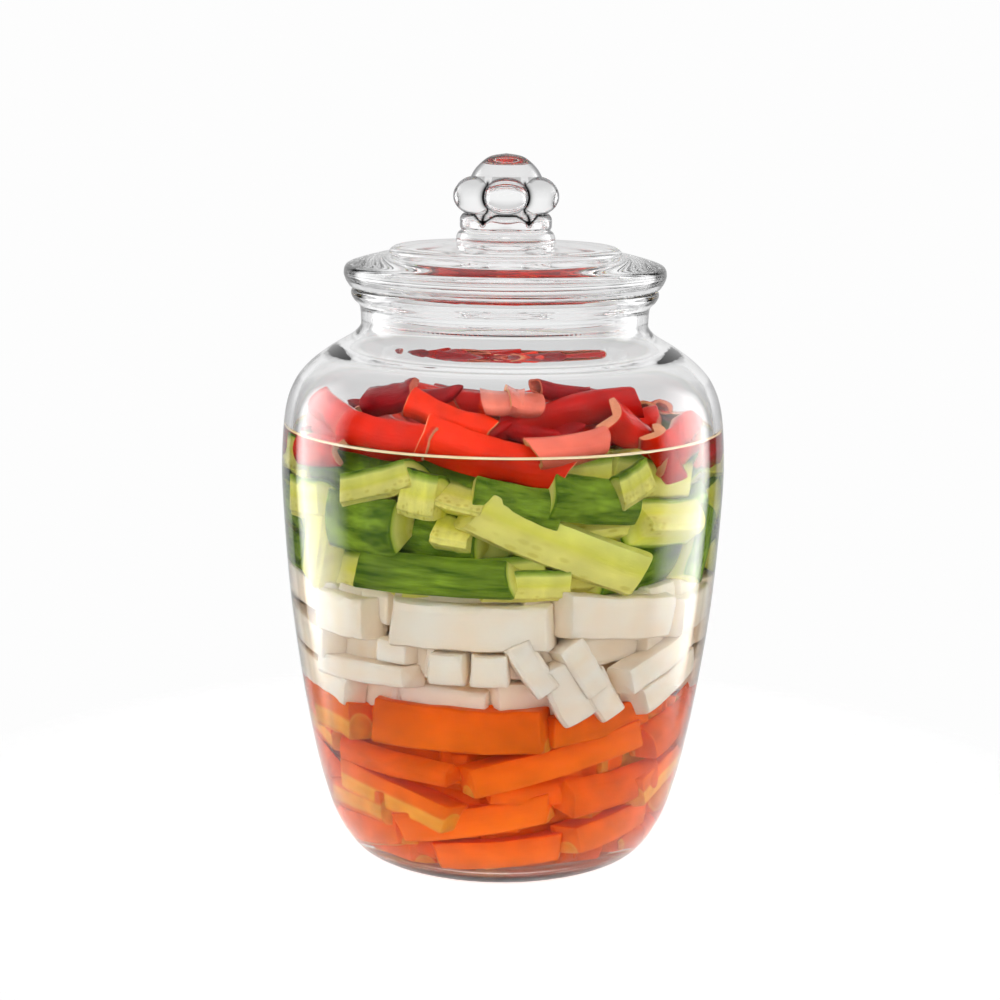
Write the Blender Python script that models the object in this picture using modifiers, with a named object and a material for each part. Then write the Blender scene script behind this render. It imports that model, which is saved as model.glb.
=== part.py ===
# A round glass fermentation jar with a glass lid, filled with four layers of cut vegetables.
# Metres, +Z up. The origin is the centre of the base, on the surface that the jar stands on.

import math
import random

import bmesh
import bpy
from mathutils import Matrix, Vector

MM = 0.001
SEED = 23
GAP = 0.3 * MM

# Glass jar: heights are above the base, radii are from the middle
BASE_RADIUS = 43.0 * MM
BASE_RECESS_RADIUS = 34.0 * MM
BASE_RECESS_DEPTH = 1.2 * MM
FLOOR_THICKNESS = 6.6 * MM
FLOOR_RADIUS = 50.0 * MM
BELLY_RADIUS = 83.1 * MM
BELLY_HEIGHT = 150.0 * MM
WALL = 3.4 * MM
NECK_RADIUS = 53.6 * MM
NECK_HEIGHT = 204.0 * MM
MOUTH_RADIUS = 49.6 * MM
LIP_RADIUS = 57.2 * MM
LIP_TOP = 215.4 * MM
LIP_INNER_RADIUS = 51.4 * MM

# Lid: a domed disc with a plug below and a knob on top
LID_RADIUS = 60.0 * MM
LID_SEAT = LIP_TOP + GAP
LID_EDGE_HEIGHT = 221.4 * MM
PLUG_RADIUS = 48.0 * MM
PLUG_INNER_RADIUS = 43.4 * MM
PLUG_BOTTOM = 205.4 * MM
LID_UNDERSIDE = 219.4 * MM
STEP_RADIUS = 43.0 * MM
STEP_TOP = 231.3 * MM
KNOB_FOOT_RADIUS = 18.4 * MM
KNOB_FOOT_HEIGHT = 232.6 * MM
KNOB_DRUM_RADIUS = 17.4 * MM
KNOB_DRUM_TOP = 242.0 * MM
KNOB_TOP = 265.0 * MM
KNOB_CORE_RADIUS = 13.4 * MM
LOBE_COUNT = 6
LOBE_CIRCLE = 14.0 * MM
LOBE_HEIGHT = 249.6 * MM
LOBE_WIDE = 7.7 * MM
LOBE_TALL = 6.8 * MM

# Layers of vegetables, from the floor up
CARROT_BOTTOM = FLOOR_THICKNESS + GAP
CARROT_TOP = 73.0 * MM
RADISH_TOP = 113.0 * MM
CUCUMBER_TOP = 157.0 * MM
CHILLI_CORE_TOP = 171.0 * MM
CHILLI_PEAK = 188.0 * MM
CORE_INSET = 11.0 * MM
GLASS_CLEARANCE = 0.9 * MM

JAR_STEPS = 48
CORE_STEPS = 24
KNOB_STEPS = 24
POD_SIDES = 6

# Front pieces: azimuth (0 faces -Y, + towards +X), height, length, height of the section, depth,
# tilt in the wall's plane and turn about the vertical. Sizes in mm, angles in degrees.
CARROT_FRONT = (
    (-14, 63, 62, 18, 15, 0, 0),
    (20, 51, 64, 12, 14, 13, 0),
    (-36, 47, 47, 10, 14, -3, 0),
    (-39, 33, 49, 13, 14, -12, 0),
    (43, 37, 41, 16, 16, 5, 0),
    (-8, 30, 52, 12, 15, 10, 0),
    (2, 15, 44, 12, 15, 4, 0),
    (46, 20, 34, 12, 15, 8, 0),
    (-60, 63, 24, 17, 18, 0, 0),
    (66, 56, 30, 15, 16, 12, 0),
)
RADISH_FRONT = (
    (-9, 103, 56, 18, 16, 0, 0),
    (-50, 102, 26, 17, 16, 0, 0),
    (-15, 87, 13, 12, 30, 0, 0),
    (-3, 87, 13, 12, 30, 0, 0),
    (9, 86, 19, 11, 22, -60, 0),
    (-45, 82, 44, 9, 14, 3, 0),
    (24, 86, 20, 11, 18, -60, 0),
    (37, 103, 46, 17, 16, -5, 0),
    (53, 84, 32, 11, 14, 15, 0),
    (-32, 91, 13, 8, 26, 0, 0),
    (66, 101, 22, 14, 16, 0, 0),
)
CUCUMBER_FRONT = (
    (17, 134, 66, 16, 16, -20, 0),
    (-20, 121, 58, 15, 17, 0, 0),
    (-42, 138, 30, 20, 18, 0, 0),
    (-13, 148, 18, 13, 24, -10, 0),
    (-14, 133, 12, 10, 26, 0, 0),
    (28, 150, 30, 12, 18, -6, 0),
    (56, 137, 34, 18, 18, -6, 0),
    (-58, 121, 30, 14, 18, 4, 0),
)
# Pods: azimuth, height, length, thickness, tilt, turn, bend (mm), and how far the pod lies from the wall
CHILLI_FRONT = (
    (-4, 168, 50, 15, -10, 0, 1, 0),
    (22, 176, 58, 12, 10, 0, 3, 5),
    (-41, 179, 26, 11, 16, 0, 2, 3),
    (-22, 180, 28, 10, 8, 30, 2, 12),
    (2, 181, 24, 11, 4, 50, 1, 13),
    (-36, 166, 40, 15, -3, 0, 2, 0),
    (48, 166, 34, 14, -30, 0, 2, 0),
    (20, 165, 26, 12, 6, 0, 1, 0),
    (66, 172, 34, 14, 14, 0, 3, 1),
    (-62, 172, 32, 13, -12, 0, 3, 1),
)

JAR_SIDE = (
    (BASE_RADIUS, 0.0),
    (52.0 * MM, 1.6 * MM),
    (58.0 * MM, 5.4 * MM),
    (64.3 * MM, 16.4 * MM),
    (69.4 * MM, 32.8 * MM),
    (74.8 * MM, 60.0 * MM),
    (80.1 * MM, 98.0 * MM),
    (BELLY_RADIUS - 0.2 * MM, BELLY_HEIGHT - 14.0 * MM),
    (BELLY_RADIUS, BELLY_HEIGHT + 5.0 * MM),
    (81.6 * MM, 171.0 * MM),
    (78.2 * MM, 180.6 * MM),
    (72.8 * MM, 187.2 * MM),
    (65.2 * MM, 193.0 * MM),
    (57.2 * MM, 197.8 * MM),
    (NECK_RADIUS + 0.3 * MM, 201.2 * MM),
    (NECK_RADIUS, NECK_HEIGHT),
)
LID_UNDER = (
    (0.0, LID_UNDERSIDE),
    (PLUG_INNER_RADIUS - 3.0 * MM, LID_UNDERSIDE - 0.6 * MM),
    (PLUG_INNER_RADIUS - 0.6 * MM, LID_UNDERSIDE - 2.6 * MM),
    (PLUG_INNER_RADIUS, PLUG_BOTTOM + 1.4 * MM),
    (PLUG_INNER_RADIUS + 1.0 * MM, PLUG_BOTTOM),
    (PLUG_RADIUS - 1.2 * MM, PLUG_BOTTOM),
    (PLUG_RADIUS - 0.2 * MM, PLUG_BOTTOM + 1.4 * MM),
    (PLUG_RADIUS, LID_SEAT - 1.0 * MM),
    (PLUG_RADIUS + 2.0 * MM, LID_SEAT),
    (LID_RADIUS - 3.4 * MM, LID_SEAT),
)
LID_EDGE = (
    (LID_RADIUS - 1.3 * MM, LID_SEAT + 1.8 * MM),
    (LID_RADIUS - 0.2 * MM, LID_EDGE_HEIGHT - 1.6 * MM),
    (LID_RADIUS, LID_EDGE_HEIGHT),
    (LID_RADIUS - 0.4 * MM, LID_EDGE_HEIGHT + 1.8 * MM),
    (LID_RADIUS - 1.8 * MM, LID_EDGE_HEIGHT + 3.2 * MM),
)
LID_TOP = (
    (54.0 * MM, 226.1 * MM),
    (STEP_RADIUS + 4.0 * MM, 227.9 * MM),
    (STEP_RADIUS + 0.6 * MM, 228.4 * MM),
    (STEP_RADIUS, 229.4 * MM),
    (STEP_RADIUS - 1.6 * MM, STEP_TOP - 0.6 * MM),
    (STEP_RADIUS - 4.4 * MM, STEP_TOP),
    (KNOB_FOOT_RADIUS + 8.0 * MM, 232.6 * MM),
    (0.0, 234.0 * MM),
)
KNOB_SIDE = (
    (0.0, KNOB_FOOT_HEIGHT - 3.0 * MM),
    (KNOB_FOOT_RADIUS - 0.5 * MM, KNOB_FOOT_HEIGHT - 3.0 * MM),
    (KNOB_FOOT_RADIUS, KNOB_FOOT_HEIGHT + 1.6 * MM),
    (KNOB_FOOT_RADIUS - 0.6 * MM, KNOB_FOOT_HEIGHT + 3.4 * MM),
    (KNOB_DRUM_RADIUS - 0.6 * MM, KNOB_FOOT_HEIGHT + 4.4 * MM),
    (KNOB_DRUM_RADIUS, KNOB_FOOT_HEIGHT + 5.8 * MM),
    (KNOB_DRUM_RADIUS, KNOB_DRUM_TOP - 1.2 * MM),
    (KNOB_DRUM_RADIUS - 1.2 * MM, KNOB_DRUM_TOP + 0.8 * MM),
    (KNOB_CORE_RADIUS, KNOB_DRUM_TOP + 3.0 * MM),
    (KNOB_CORE_RADIUS + 0.2 * MM, LOBE_HEIGHT + 4.6 * MM),
    (12.6 * MM, 257.6 * MM),
    (10.2 * MM, 260.8 * MM),
    (6.0 * MM, 263.9 * MM),
    (0.0, KNOB_TOP),
)


def clear_scene():
    for obj in list(bpy.data.objects):
        bpy.data.objects.remove(obj, do_unlink=True)


def new_collection(name):
    collection = bpy.data.collections.new(name)
    bpy.context.scene.collection.children.link(collection)
    return collection


def material(name, colour, roughness, transmission=0.0, ior=1.45):
    made = bpy.data.materials.new(name)
    made.use_nodes = True
    made.diffuse_color = (*colour, 1.0 - 0.7 * transmission)
    shader = made.node_tree.nodes["Principled BSDF"]
    shader.inputs["Base Color"].default_value = (*colour, 1.0)
    shader.inputs["Roughness"].default_value = roughness
    shader.inputs["Metallic"].default_value = 0.0
    shader.inputs["Transmission Weight"].default_value = transmission
    shader.inputs["IOR"].default_value = ior
    return made


def mesh_object(name, bm, collection):
    mesh = bpy.data.meshes.new(name)
    bm.to_mesh(mesh)
    bm.free()
    obj = bpy.data.objects.new(name, mesh)
    collection.objects.link(obj)
    return obj


def smooth_points(points, per_span):
    """Points along a smooth curve through the given ones."""
    ends = [Vector(points[0]), *map(Vector, points), Vector(points[-1])]
    found = []
    for before, start, end, after in zip(ends, ends[1:], ends[2:], ends[3:]):
        for step in range(per_span):
            t = step / per_span
            ease_in = (end - before) * 0.5
            ease_out = (after - start) * 0.5
            span = (end - start).length
            ease_in *= min(1.0, 1.6 * span / max(ease_in.length, 1e-9))
            ease_out *= min(1.0, 1.6 * span / max(ease_out.length, 1e-9))
            a = 2 * t**3 - 3 * t**2 + 1
            b = t**3 - 2 * t**2 + t
            c = t**3 - t**2
            found.append(a * start + b * ease_in + (1 - a) * end + c * ease_out)
    found.append(Vector(points[-1]))
    return found


def thinned(points, most_turn=13.0, longest=40 * MM):
    """The points that a smooth outline needs: fewer where it is nearly straight."""
    kept = [points[0]]
    heading = points[1] - points[0]
    for here, ahead in zip(points[1:], points[2:]):
        turn = math.degrees(heading.angle(ahead - here))
        if turn > most_turn or (here - kept[-1]).length > longest:
            kept.append(here)
            heading = ahead - here
    kept.append(points[-1])
    return kept


def inner_side():
    """The jar's inner wall, from the floor up to the neck: the outer side moved in by the wall."""
    outer = smooth_points(JAR_SIDE, 8)
    inner = []
    for before, here, after in zip(outer, outer[1:], outer[2:]):
        along = (after - before).normalized()
        moved = here + Vector((-along.y, along.x)) * WALL
        if moved.y > FLOOR_THICKNESS + 3.0 * MM and moved.x > MOUTH_RADIUS:
            inner.append(moved)
    return inner


def inner_radius(side, height):
    """The inner wall's radius at a height, with the floor's round corner below it."""
    if height <= side[0].y:
        share = max(0.0, (height - FLOOR_THICKNESS) / (side[0].y - FLOOR_THICKNESS))
        return FLOOR_RADIUS + (side[0].x - FLOOR_RADIUS) * math.sqrt(share)
    for low, high in zip(side, side[1:]):
        if height <= high.y:
            share = (height - low.y) / (high.y - low.y)
            return low.x + share * (high.x - low.x)
    return MOUTH_RADIUS


def turned(name, outline, steps, collection):
    """A closed turned solid: the outline starts and ends on the axis and comes back down its outer side."""
    mesh = bpy.data.meshes.new(name)
    corners = [(point[0], 0.0, point[1]) for point in outline]
    edges = [(i, i + 1) for i in range(len(corners) - 1)]
    mesh.from_pydata(corners, edges, [])
    obj = bpy.data.objects.new(name, mesh)
    collection.objects.link(obj)
    screw = obj.modifiers.new("Turn", "SCREW")
    screw.axis = "Z"
    screw.steps = steps
    screw.render_steps = steps
    screw.use_smooth_shade = True
    screw.use_merge_vertices = True
    screw.merge_threshold = 0.00005
    return obj


def applied(obj, collection):
    """The object as a plain mesh, with its modifiers applied and its normals facing out."""
    graph = bpy.context.evaluated_depsgraph_get()
    graph.update()
    mesh = bpy.data.meshes.new_from_object(obj.evaluated_get(graph))
    name = obj.name
    bpy.data.objects.remove(obj, do_unlink=True)
    bm = bmesh.new()
    bm.from_mesh(mesh)
    bmesh.ops.remove_doubles(bm, verts=bm.verts, dist=0.00001)
    bmesh.ops.recalc_face_normals(bm, faces=bm.faces)
    bm.to_mesh(mesh)
    bm.free()
    plain = bpy.data.objects.new(name, mesh)
    plain.data.name = name
    collection.objects.link(plain)
    return plain


def fused(core, pieces, collection):
    """The core and all the pieces joined into one solid by one Boolean union."""
    union = core.modifiers.new("Fuse", "BOOLEAN")
    union.operation = "UNION"
    union.operand_type = "COLLECTION"
    union.collection = pieces
    union.solver = "EXACT"
    union.use_self = True
    joined = applied(core, collection)
    for piece in list(pieces.objects):
        bpy.data.objects.remove(piece, do_unlink=True)
    bpy.data.collections.remove(pieces)
    return joined


def largest_body(obj):
    """Drops loose scraps and fills hollows that fusing sealed: only the largest shell stays."""
    bm = bmesh.new()
    bm.from_mesh(obj.data)
    left = set(bm.faces)
    shells = []
    while left:
        stack = [left.pop()]
        shell = set(stack)
        while stack:
            for edge in stack.pop().edges:
                for face in edge.link_faces:
                    if face in left:
                        left.remove(face)
                        shell.add(face)
                        stack.append(face)
        shells.append(shell)
    shells.sort(key=lambda shell: sum(face.calc_area() for face in shell))
    for shell in shells[:-1]:
        bmesh.ops.delete(bm, geom=list(shell), context="FACES")
    bmesh.ops.dissolve_limit(
        bm, angle_limit=math.radians(0.4), verts=bm.verts, edges=bm.edges
    )
    bmesh.ops.triangulate(bm, faces=bm.faces)
    bm.to_mesh(obj.data)
    bm.free()


def finish(obj, surface, smooth_angle):
    obj.data.materials.clear()
    obj.data.materials.append(surface)
    obj.data.shade_smooth()
    obj.data.set_sharp_from_angle(angle=math.radians(smooth_angle))


def glass_jar(collection, side, surface):
    lip = [
        (MOUTH_RADIUS, NECK_HEIGHT - 1.0 * MM),
        (MOUTH_RADIUS, LIP_TOP - 3.4 * MM),
        (MOUTH_RADIUS + 0.5 * MM, LIP_TOP - 1.2 * MM),
        (LIP_INNER_RADIUS, LIP_TOP),
        (LIP_RADIUS - 0.9 * MM, LIP_TOP),
        (LIP_RADIUS, LIP_TOP - 0.9 * MM),
        (LIP_RADIUS, LIP_TOP - 2.4 * MM),
        (LIP_RADIUS - 1.0 * MM, LIP_TOP - 4.2 * MM),
        (NECK_RADIUS + 0.5 * MM, LIP_TOP - 6.6 * MM),
    ]
    floor_corner = [
        (inner_radius(side, FLOOR_THICKNESS + rise * MM), FLOOR_THICKNESS + rise * MM)
        for rise in (0.0, 0.4, 1.6)
    ]
    outer = thinned(smooth_points(JAR_SIDE, 8))
    outline = [
        (0.0, FLOOR_THICKNESS),
        *floor_corner,
        *thinned(side),
        *lip,
        *reversed(outer),
        (BASE_RECESS_RADIUS, 0.0),
        (BASE_RECESS_RADIUS - 2.0 * MM, BASE_RECESS_DEPTH),
        (0.0, BASE_RECESS_DEPTH),
    ]
    jar = applied(turned("glass_jar", outline, JAR_STEPS, collection), collection)
    finish(jar, surface, 40)
    return jar


def glass_lid(collection, surface):
    pieces = new_collection("knob_pieces")
    turned("knob_side", KNOB_SIDE, KNOB_STEPS, pieces)
    for index in range(LOBE_COUNT):
        bm = bmesh.new()
        bmesh.ops.create_uvsphere(bm, u_segments=12, v_segments=8, radius=1.0)
        angle = math.tau * index / LOBE_COUNT
        place = Matrix.Translation(
            (LOBE_CIRCLE * math.sin(angle), -LOBE_CIRCLE * math.cos(angle), LOBE_HEIGHT)
        )
        shape = Matrix.Diagonal((LOBE_WIDE, LOBE_WIDE, LOBE_TALL, 1.0))
        bmesh.ops.transform(bm, matrix=place @ shape, verts=bm.verts)
        mesh_object(f"lobe_{index}", bm, pieces)
    outline = [*LID_UNDER, *LID_EDGE, *LID_TOP]
    disc = applied(turned("glass_lid", outline, JAR_STEPS, collection), collection)
    lid = fused(disc, pieces, collection)
    largest_body(lid)
    finish(lid, surface, 35)
    return lid


def core(name, side, low, high, collection, dome=0.0):
    """The bare middle of a layer, inset from the glass all round."""
    heights = [low]
    while heights[-1] + 16 * MM < high:
        heights.append(heights[-1] + 14 * MM)
    heights.append(high)
    wall = [(inner_radius(side, z + 1 * MM) - CORE_INSET, z) for z in heights]
    outline = [(0.0, low), *wall, (0.0, high + dome)]
    return applied(turned(name, outline, CORE_STEPS, collection), collection)


def seated(bm, place, side, low, high, inset=0.0):
    """Moves a piece within its layer and out until it just clears the glass."""
    bmesh.ops.transform(bm, matrix=place, verts=bm.verts)
    heights = [corner.co.z for corner in bm.verts]
    tallest = high - low - 0.4 * MM
    if max(heights) - min(heights) > tallest:
        middle = 0.5 * (max(heights) + min(heights))
        squeeze = tallest / (max(heights) - min(heights))
        for corner in bm.verts:
            corner.co.z = middle + (corner.co.z - middle) * squeeze
        heights = [corner.co.z for corner in bm.verts]
    lift = max(0.0, low - min(heights)) - max(0.0, max(heights) - high)
    outward = place.to_3x3() @ Vector((0.0, -1.0, 0.0))
    outward.z = 0.0
    outward.normalize()
    reach = -CORE_INSET * 3
    step = 0.25 * MM
    for corner in bm.verts:
        corner.co.z += lift
    limits = [inner_radius(side, c.co.z) - GLASS_CLEARANCE - inset for c in bm.verts]
    while all(
        (c.co.xy + outward.xy * (reach + step)).length < limit
        for c, limit in zip(bm.verts, limits)
    ):
        reach += step
    for corner in bm.verts:
        corner.co += outward * reach


def placing(azimuth, height, tilt, turn, radius):
    spin = Matrix.Rotation(math.radians(azimuth), 4, "Z")
    out = Matrix.Translation((0.0, -radius, height))
    yaw = Matrix.Rotation(math.radians(turn), 4, "Z")
    lean = Matrix.Rotation(math.radians(-tilt), 4, "Y")
    return spin @ out @ yaw @ lean


def stick(name, row, side, low, high, pieces, rng):
    """A cut stick with slightly uneven ends, lying against the glass."""
    azimuth, height, length, tall, deep, tilt, turn = row
    bm = bmesh.new()
    bmesh.ops.create_cube(bm, size=1.0)
    taper = rng.uniform(0.84, 1.0)
    for corner in bm.verts:
        if corner.co.x > 0:
            corner.co.y *= taper
            corner.co.z *= taper
        corner.co.x += 0.06 * rng.uniform(-1, 1)
    size = Matrix.Diagonal((length * MM, deep * MM, tall * MM, 1.0))
    bmesh.ops.transform(bm, matrix=size, verts=bm.verts)
    place = placing(azimuth, height * MM, tilt, turn, BASE_RADIUS)
    seated(bm, place, side, low, high)
    mesh_object(name, bm, pieces)


def pod(name, row, side, low, high, pieces, rng):
    """A cut piece of chilli pod: a tapered, slightly bent round body."""
    azimuth, height, length, thick, tilt, turn, bend, inset = row
    bm = bmesh.new()
    shares = (-0.5, -0.05, 0.36, 0.5)
    widths = (0.46, 0.52, 0.4, 0.16)
    for share, width in zip(shares, widths):
        for index in range(POD_SIDES):
            angle = math.tau * index / POD_SIDES
            radius = width * thick * MM * rng.uniform(0.94, 1.04)
            drop = 4 * bend * MM * (share * share - 0.25)
            bm.verts.new(
                (
                    share * length * MM,
                    radius * math.sin(angle),
                    radius * math.cos(angle) - drop,
                )
            )
    bm.verts.ensure_lookup_table()
    rings = [
        bm.verts[i * POD_SIDES : (i + 1) * POD_SIDES] for i in range(len(shares))
    ]
    for ring, following in zip(rings, rings[1:]):
        for index in range(POD_SIDES):
            beside = (index + 1) % POD_SIDES
            bm.faces.new(
                (ring[index], following[index], following[beside], ring[beside])
            )
    bm.faces.new(rings[0])
    bm.faces.new(reversed(rings[-1]))
    bmesh.ops.recalc_face_normals(bm, faces=bm.faces)
    place = placing(azimuth, height * MM, tilt, turn, BASE_RADIUS)
    seated(bm, place, side, low, high, inset * MM)
    mesh_object(name, bm, pieces)


def round_the_back(rng, low, high, tall, length, from_azimuth, to_azimuth):
    """Rows of sticks on the sides and at the back, uneven in size and lean."""
    rows = max(2, round((high - low) / MM / (tall + 3.0)))
    pitch = (high - low) / MM / rows
    found = []
    for row in range(rows):
        azimuth = from_azimuth + rng.uniform(0, 14)
        while azimuth < to_azimuth:
            end_on = rng.random() < 0.22
            long = rng.uniform(0.7, 1.1) * length
            across = tall * rng.uniform(0.8, 1.1)
            wide = across if end_on else long
            arc = math.degrees((wide + 3.0) * MM / (BELLY_RADIUS - WALL))
            height = low / MM + pitch * (row + 0.5) + rng.uniform(-2, 2)
            lean = 0.0 if end_on else rng.uniform(-12, 12)
            deep = 24.0 if end_on else across
            found.append(
                (azimuth + arc / 2, height, wide, across, deep, lean, 0)
            )
            azimuth += arc
    return found


def stick_layer(name, side, low, high, front, size, collection, surface):
    """One layer of sticks: the front ones as placed, the others by rule."""
    rng = random.Random(f"{SEED}{name}")
    low_edge = low + GAP
    high_edge = high - GAP
    body = core(name, side, low_edge, high_edge, collection)
    pieces = new_collection(name + "_pieces")
    tall, length = size
    back = round_the_back(rng, low_edge, high_edge, tall, length, 82, 278)
    for index, row in enumerate((*front, *back)):
        edges = (low_edge + 0.2 * MM, high_edge - 0.2 * MM)
        stick(f"{name}_{index}", row, side, *edges, pieces, rng)
    layer = fused(body, pieces, collection)
    largest_body(layer)
    finish(layer, surface, 30)
    return layer


def chilli_layer(side, collection, surface):
    name = "chilli_layer"
    rng = random.Random(f"{SEED}{name}")
    low_edge = CUCUMBER_TOP + GAP
    body = core(name, side, low_edge, CHILLI_CORE_TOP, collection, 3 * MM)
    pieces = new_collection(name + "_pieces")
    back = []
    for azimuth in range(88, 280, 24):
        lean = rng.uniform(-14, 14)
        back.append((azimuth, 165, rng.uniform(30, 44), 15, lean, 0, 2, 0))
        lift = rng.uniform(172, 177)
        back.append((azimuth + 11, lift, rng.uniform(24, 46), 13, -lean, 25, 2, 4))
    for azimuth in range(0, 360, 60):
        lean = rng.uniform(-6, 6)
        back.append((azimuth, 177, rng.uniform(30, 50), 13, lean, 60, 2, 32))
    for index, row in enumerate((*CHILLI_FRONT, *back)):
        edges = (low_edge + 0.2 * MM, CHILLI_PEAK)
        pod(f"{name}_{index}", row, side, *edges, pieces, rng)
    layer = fused(body, pieces, collection)
    largest_body(layer)
    finish(layer, surface, 40)
    return layer


def main():
    clear_scene()
    parts = new_collection("fermentation_jar")
    clear = material("clear_glass", (0.96, 0.97, 0.97), 0.02, 1.0, 1.5)
    orange = material("carrot", (0.86, 0.22, 0.03), 0.4)
    white = material("radish", (0.86, 0.80, 0.74), 0.4)
    green = material("cucumber", (0.42, 0.55, 0.10), 0.4)
    red = material("chilli", (0.70, 0.04, 0.02), 0.3)
    side = inner_side()
    glass_jar(parts, side, clear)
    glass_lid(parts, clear)
    carrot = ("carrot_layer", side, CARROT_BOTTOM, CARROT_TOP)
    stick_layer(*carrot, CARROT_FRONT, (15, 52), parts, orange)
    radish = ("radish_layer", side, CARROT_TOP, RADISH_TOP)
    stick_layer(*radish, RADISH_FRONT, (15, 48), parts, white)
    cucumber = ("cucumber_layer", side, RADISH_TOP, CUCUMBER_TOP)
    stick_layer(*cucumber, CUCUMBER_FRONT, (18, 50), parts, green)
    chilli_layer(side, parts, red)


main()
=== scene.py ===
# The looks of the glass fermentation jar: clear glass, brine and four layers of cut vegetables.
# Metres, +Z up. The side that faces -Y is the front.

import math
import random

import bpy
from mathutils import Euler, Matrix, Vector, noise


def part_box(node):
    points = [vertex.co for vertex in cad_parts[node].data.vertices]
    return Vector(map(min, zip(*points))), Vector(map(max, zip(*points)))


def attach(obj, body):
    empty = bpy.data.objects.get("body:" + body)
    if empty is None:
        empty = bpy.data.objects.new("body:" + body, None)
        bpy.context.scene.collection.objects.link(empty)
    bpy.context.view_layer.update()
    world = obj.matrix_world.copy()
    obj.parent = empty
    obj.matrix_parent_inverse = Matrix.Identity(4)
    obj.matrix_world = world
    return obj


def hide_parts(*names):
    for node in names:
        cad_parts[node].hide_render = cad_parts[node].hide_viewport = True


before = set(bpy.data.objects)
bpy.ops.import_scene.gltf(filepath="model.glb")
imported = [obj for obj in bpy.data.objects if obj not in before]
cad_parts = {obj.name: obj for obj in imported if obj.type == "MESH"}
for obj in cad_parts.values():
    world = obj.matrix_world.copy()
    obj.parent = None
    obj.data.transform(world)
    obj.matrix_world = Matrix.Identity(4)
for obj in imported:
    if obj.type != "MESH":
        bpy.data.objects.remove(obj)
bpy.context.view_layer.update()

MM = 0.001
SEED = 41
noise.seed_set(SEED)
JAR_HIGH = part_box("glass_jar")[1]
LID_LOW, LID_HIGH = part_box("glass_lid")

# Glass jar: heights are above the base, radii are from the middle
BASE_RADIUS = 43.0 * MM
BASE_RECESS_RADIUS = 34.0 * MM
BASE_RECESS_DEPTH = 1.2 * MM
FLOOR_THICKNESS = 6.6 * MM
FLOOR_RADIUS = 50.0 * MM
FLOOR_CORNER_RISE = 3.0 * MM
BELLY_RADIUS = JAR_HIGH.x
BELLY_HEIGHT = 150.0 * MM
WALL = 3.4 * MM
NECK_RADIUS = 53.6 * MM
NECK_HEIGHT = 204.0 * MM
MOUTH_RADIUS = 49.6 * MM
NECK_SWELL = 0.7 * MM
NECK_SWELL_HEIGHT = 195.7 * MM
NECK_SWELL_WIDTH = 2.8 * MM
LIP_RADIUS = 57.2 * MM
LIP_TOP = JAR_HIGH.z
LIP_INNER_RADIUS = 51.4 * MM

# Lid
LID_RADIUS = LID_HIGH.x
LID_SEAT = LIP_TOP + 0.3 * MM
LID_EDGE_HEIGHT = 221.4 * MM
PLUG_RADIUS = 48.0 * MM
PLUG_INNER_RADIUS = 43.4 * MM
PLUG_BOTTOM = LID_LOW.z
LID_UNDERSIDE = 219.4 * MM
STEP_RADIUS = 43.0 * MM
STEP_TOP = 231.3 * MM
KNOB_FOOT_RADIUS = 18.4 * MM
KNOB_FOOT_HEIGHT = 232.6 * MM
KNOB_DRUM_RADIUS = 17.4 * MM
KNOB_DRUM_TOP = 242.0 * MM
KNOB_TOP = LID_HIGH.z
KNOB_FINE_TOP = 259.0 * MM
KNOB_FINE_STEP = 0.3 * MM
KNOB_CORE_RADIUS = 13.4 * MM
LOBE_COUNT = 6
LOBE_PITCH = math.tau / LOBE_COUNT
LOBE_CIRCLE = 12.9 * MM
LOBE_HEIGHT = 249.6 * MM
LOBE_WIDE = 8.3 * MM
LOBE_TALL = 6.9 * MM
LOBE_BLEND = 0.7 * MM
ARCH_TOP = 242.9 * MM
ARCH_DROP = 3.4 * MM
ARCH_FLAT = 12.0  # degrees each side of a lobe's middle where its arch is level
ARCH_FALL = 18.0  # degrees beyond that over which it drops
ARCH_GROOVE = 0.35 * MM
ARCH_WIDTH = 0.65 * MM
# The knob's painted shade lines: where they lie between the lobes, how wide they are, and how they
# fade
CREASE_RADIUS = 17.0 * MM
CREASE_SHADE_WIDTH = 1.0 * MM
CREASE_SHADE_FADE = 1.2 * MM
DRUM_FLUTE = 0.45 * MM
# Painted shade: the knob's edges are painted darker than the walls'
KNOB_EDGE_SHADE = 1.35  # how much darker the knob's edges are than the walls'

# Brine and the layers of vegetables
BRINE_LEVEL = 163.6 * MM
BRINE_INTO_GLASS = 0.4 * MM
MENISCUS_RISE = 1.5 * MM
MENISCUS_WIDTH = 3.2 * MM
BRINE_IOR = 1.334
CARROT_BOTTOM = 7.0 * MM
CARROT_TOP = 73.0 * MM
RADISH_TOP = 113.0 * MM
CUCUMBER_TOP = 157.0 * MM
CHILLI_PEAK = 188.0 * MM
GLASS_CLEARANCE = 0.8 * MM
CORE_INSET = 24.0 * MM
CORE_WAVE = 1.2 * MM
# Painted shade: the core takes a tone below the middle, so it is a little darker than most pieces,
# like the deeper sticks it stands in for
CORE_SHADED_TONE = 0.3  # the plain core's place in its kind's range of tones
STICK_GAP = 1.2  # mm
SECOND_ROW = 10.0  # mm behind the sticks at the glass
BEHIND = (80, 280)  # degrees round the jar, past the front pieces
ALL_ROUND = (0, 350)

# Steps round a turned piece, and points on each span of its outline
TURN_STEPS = 160
LID_STEPS = 192
CORE_STEPS = 64
WALL_POINTS = 8
RIM_POINTS = 6

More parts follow.
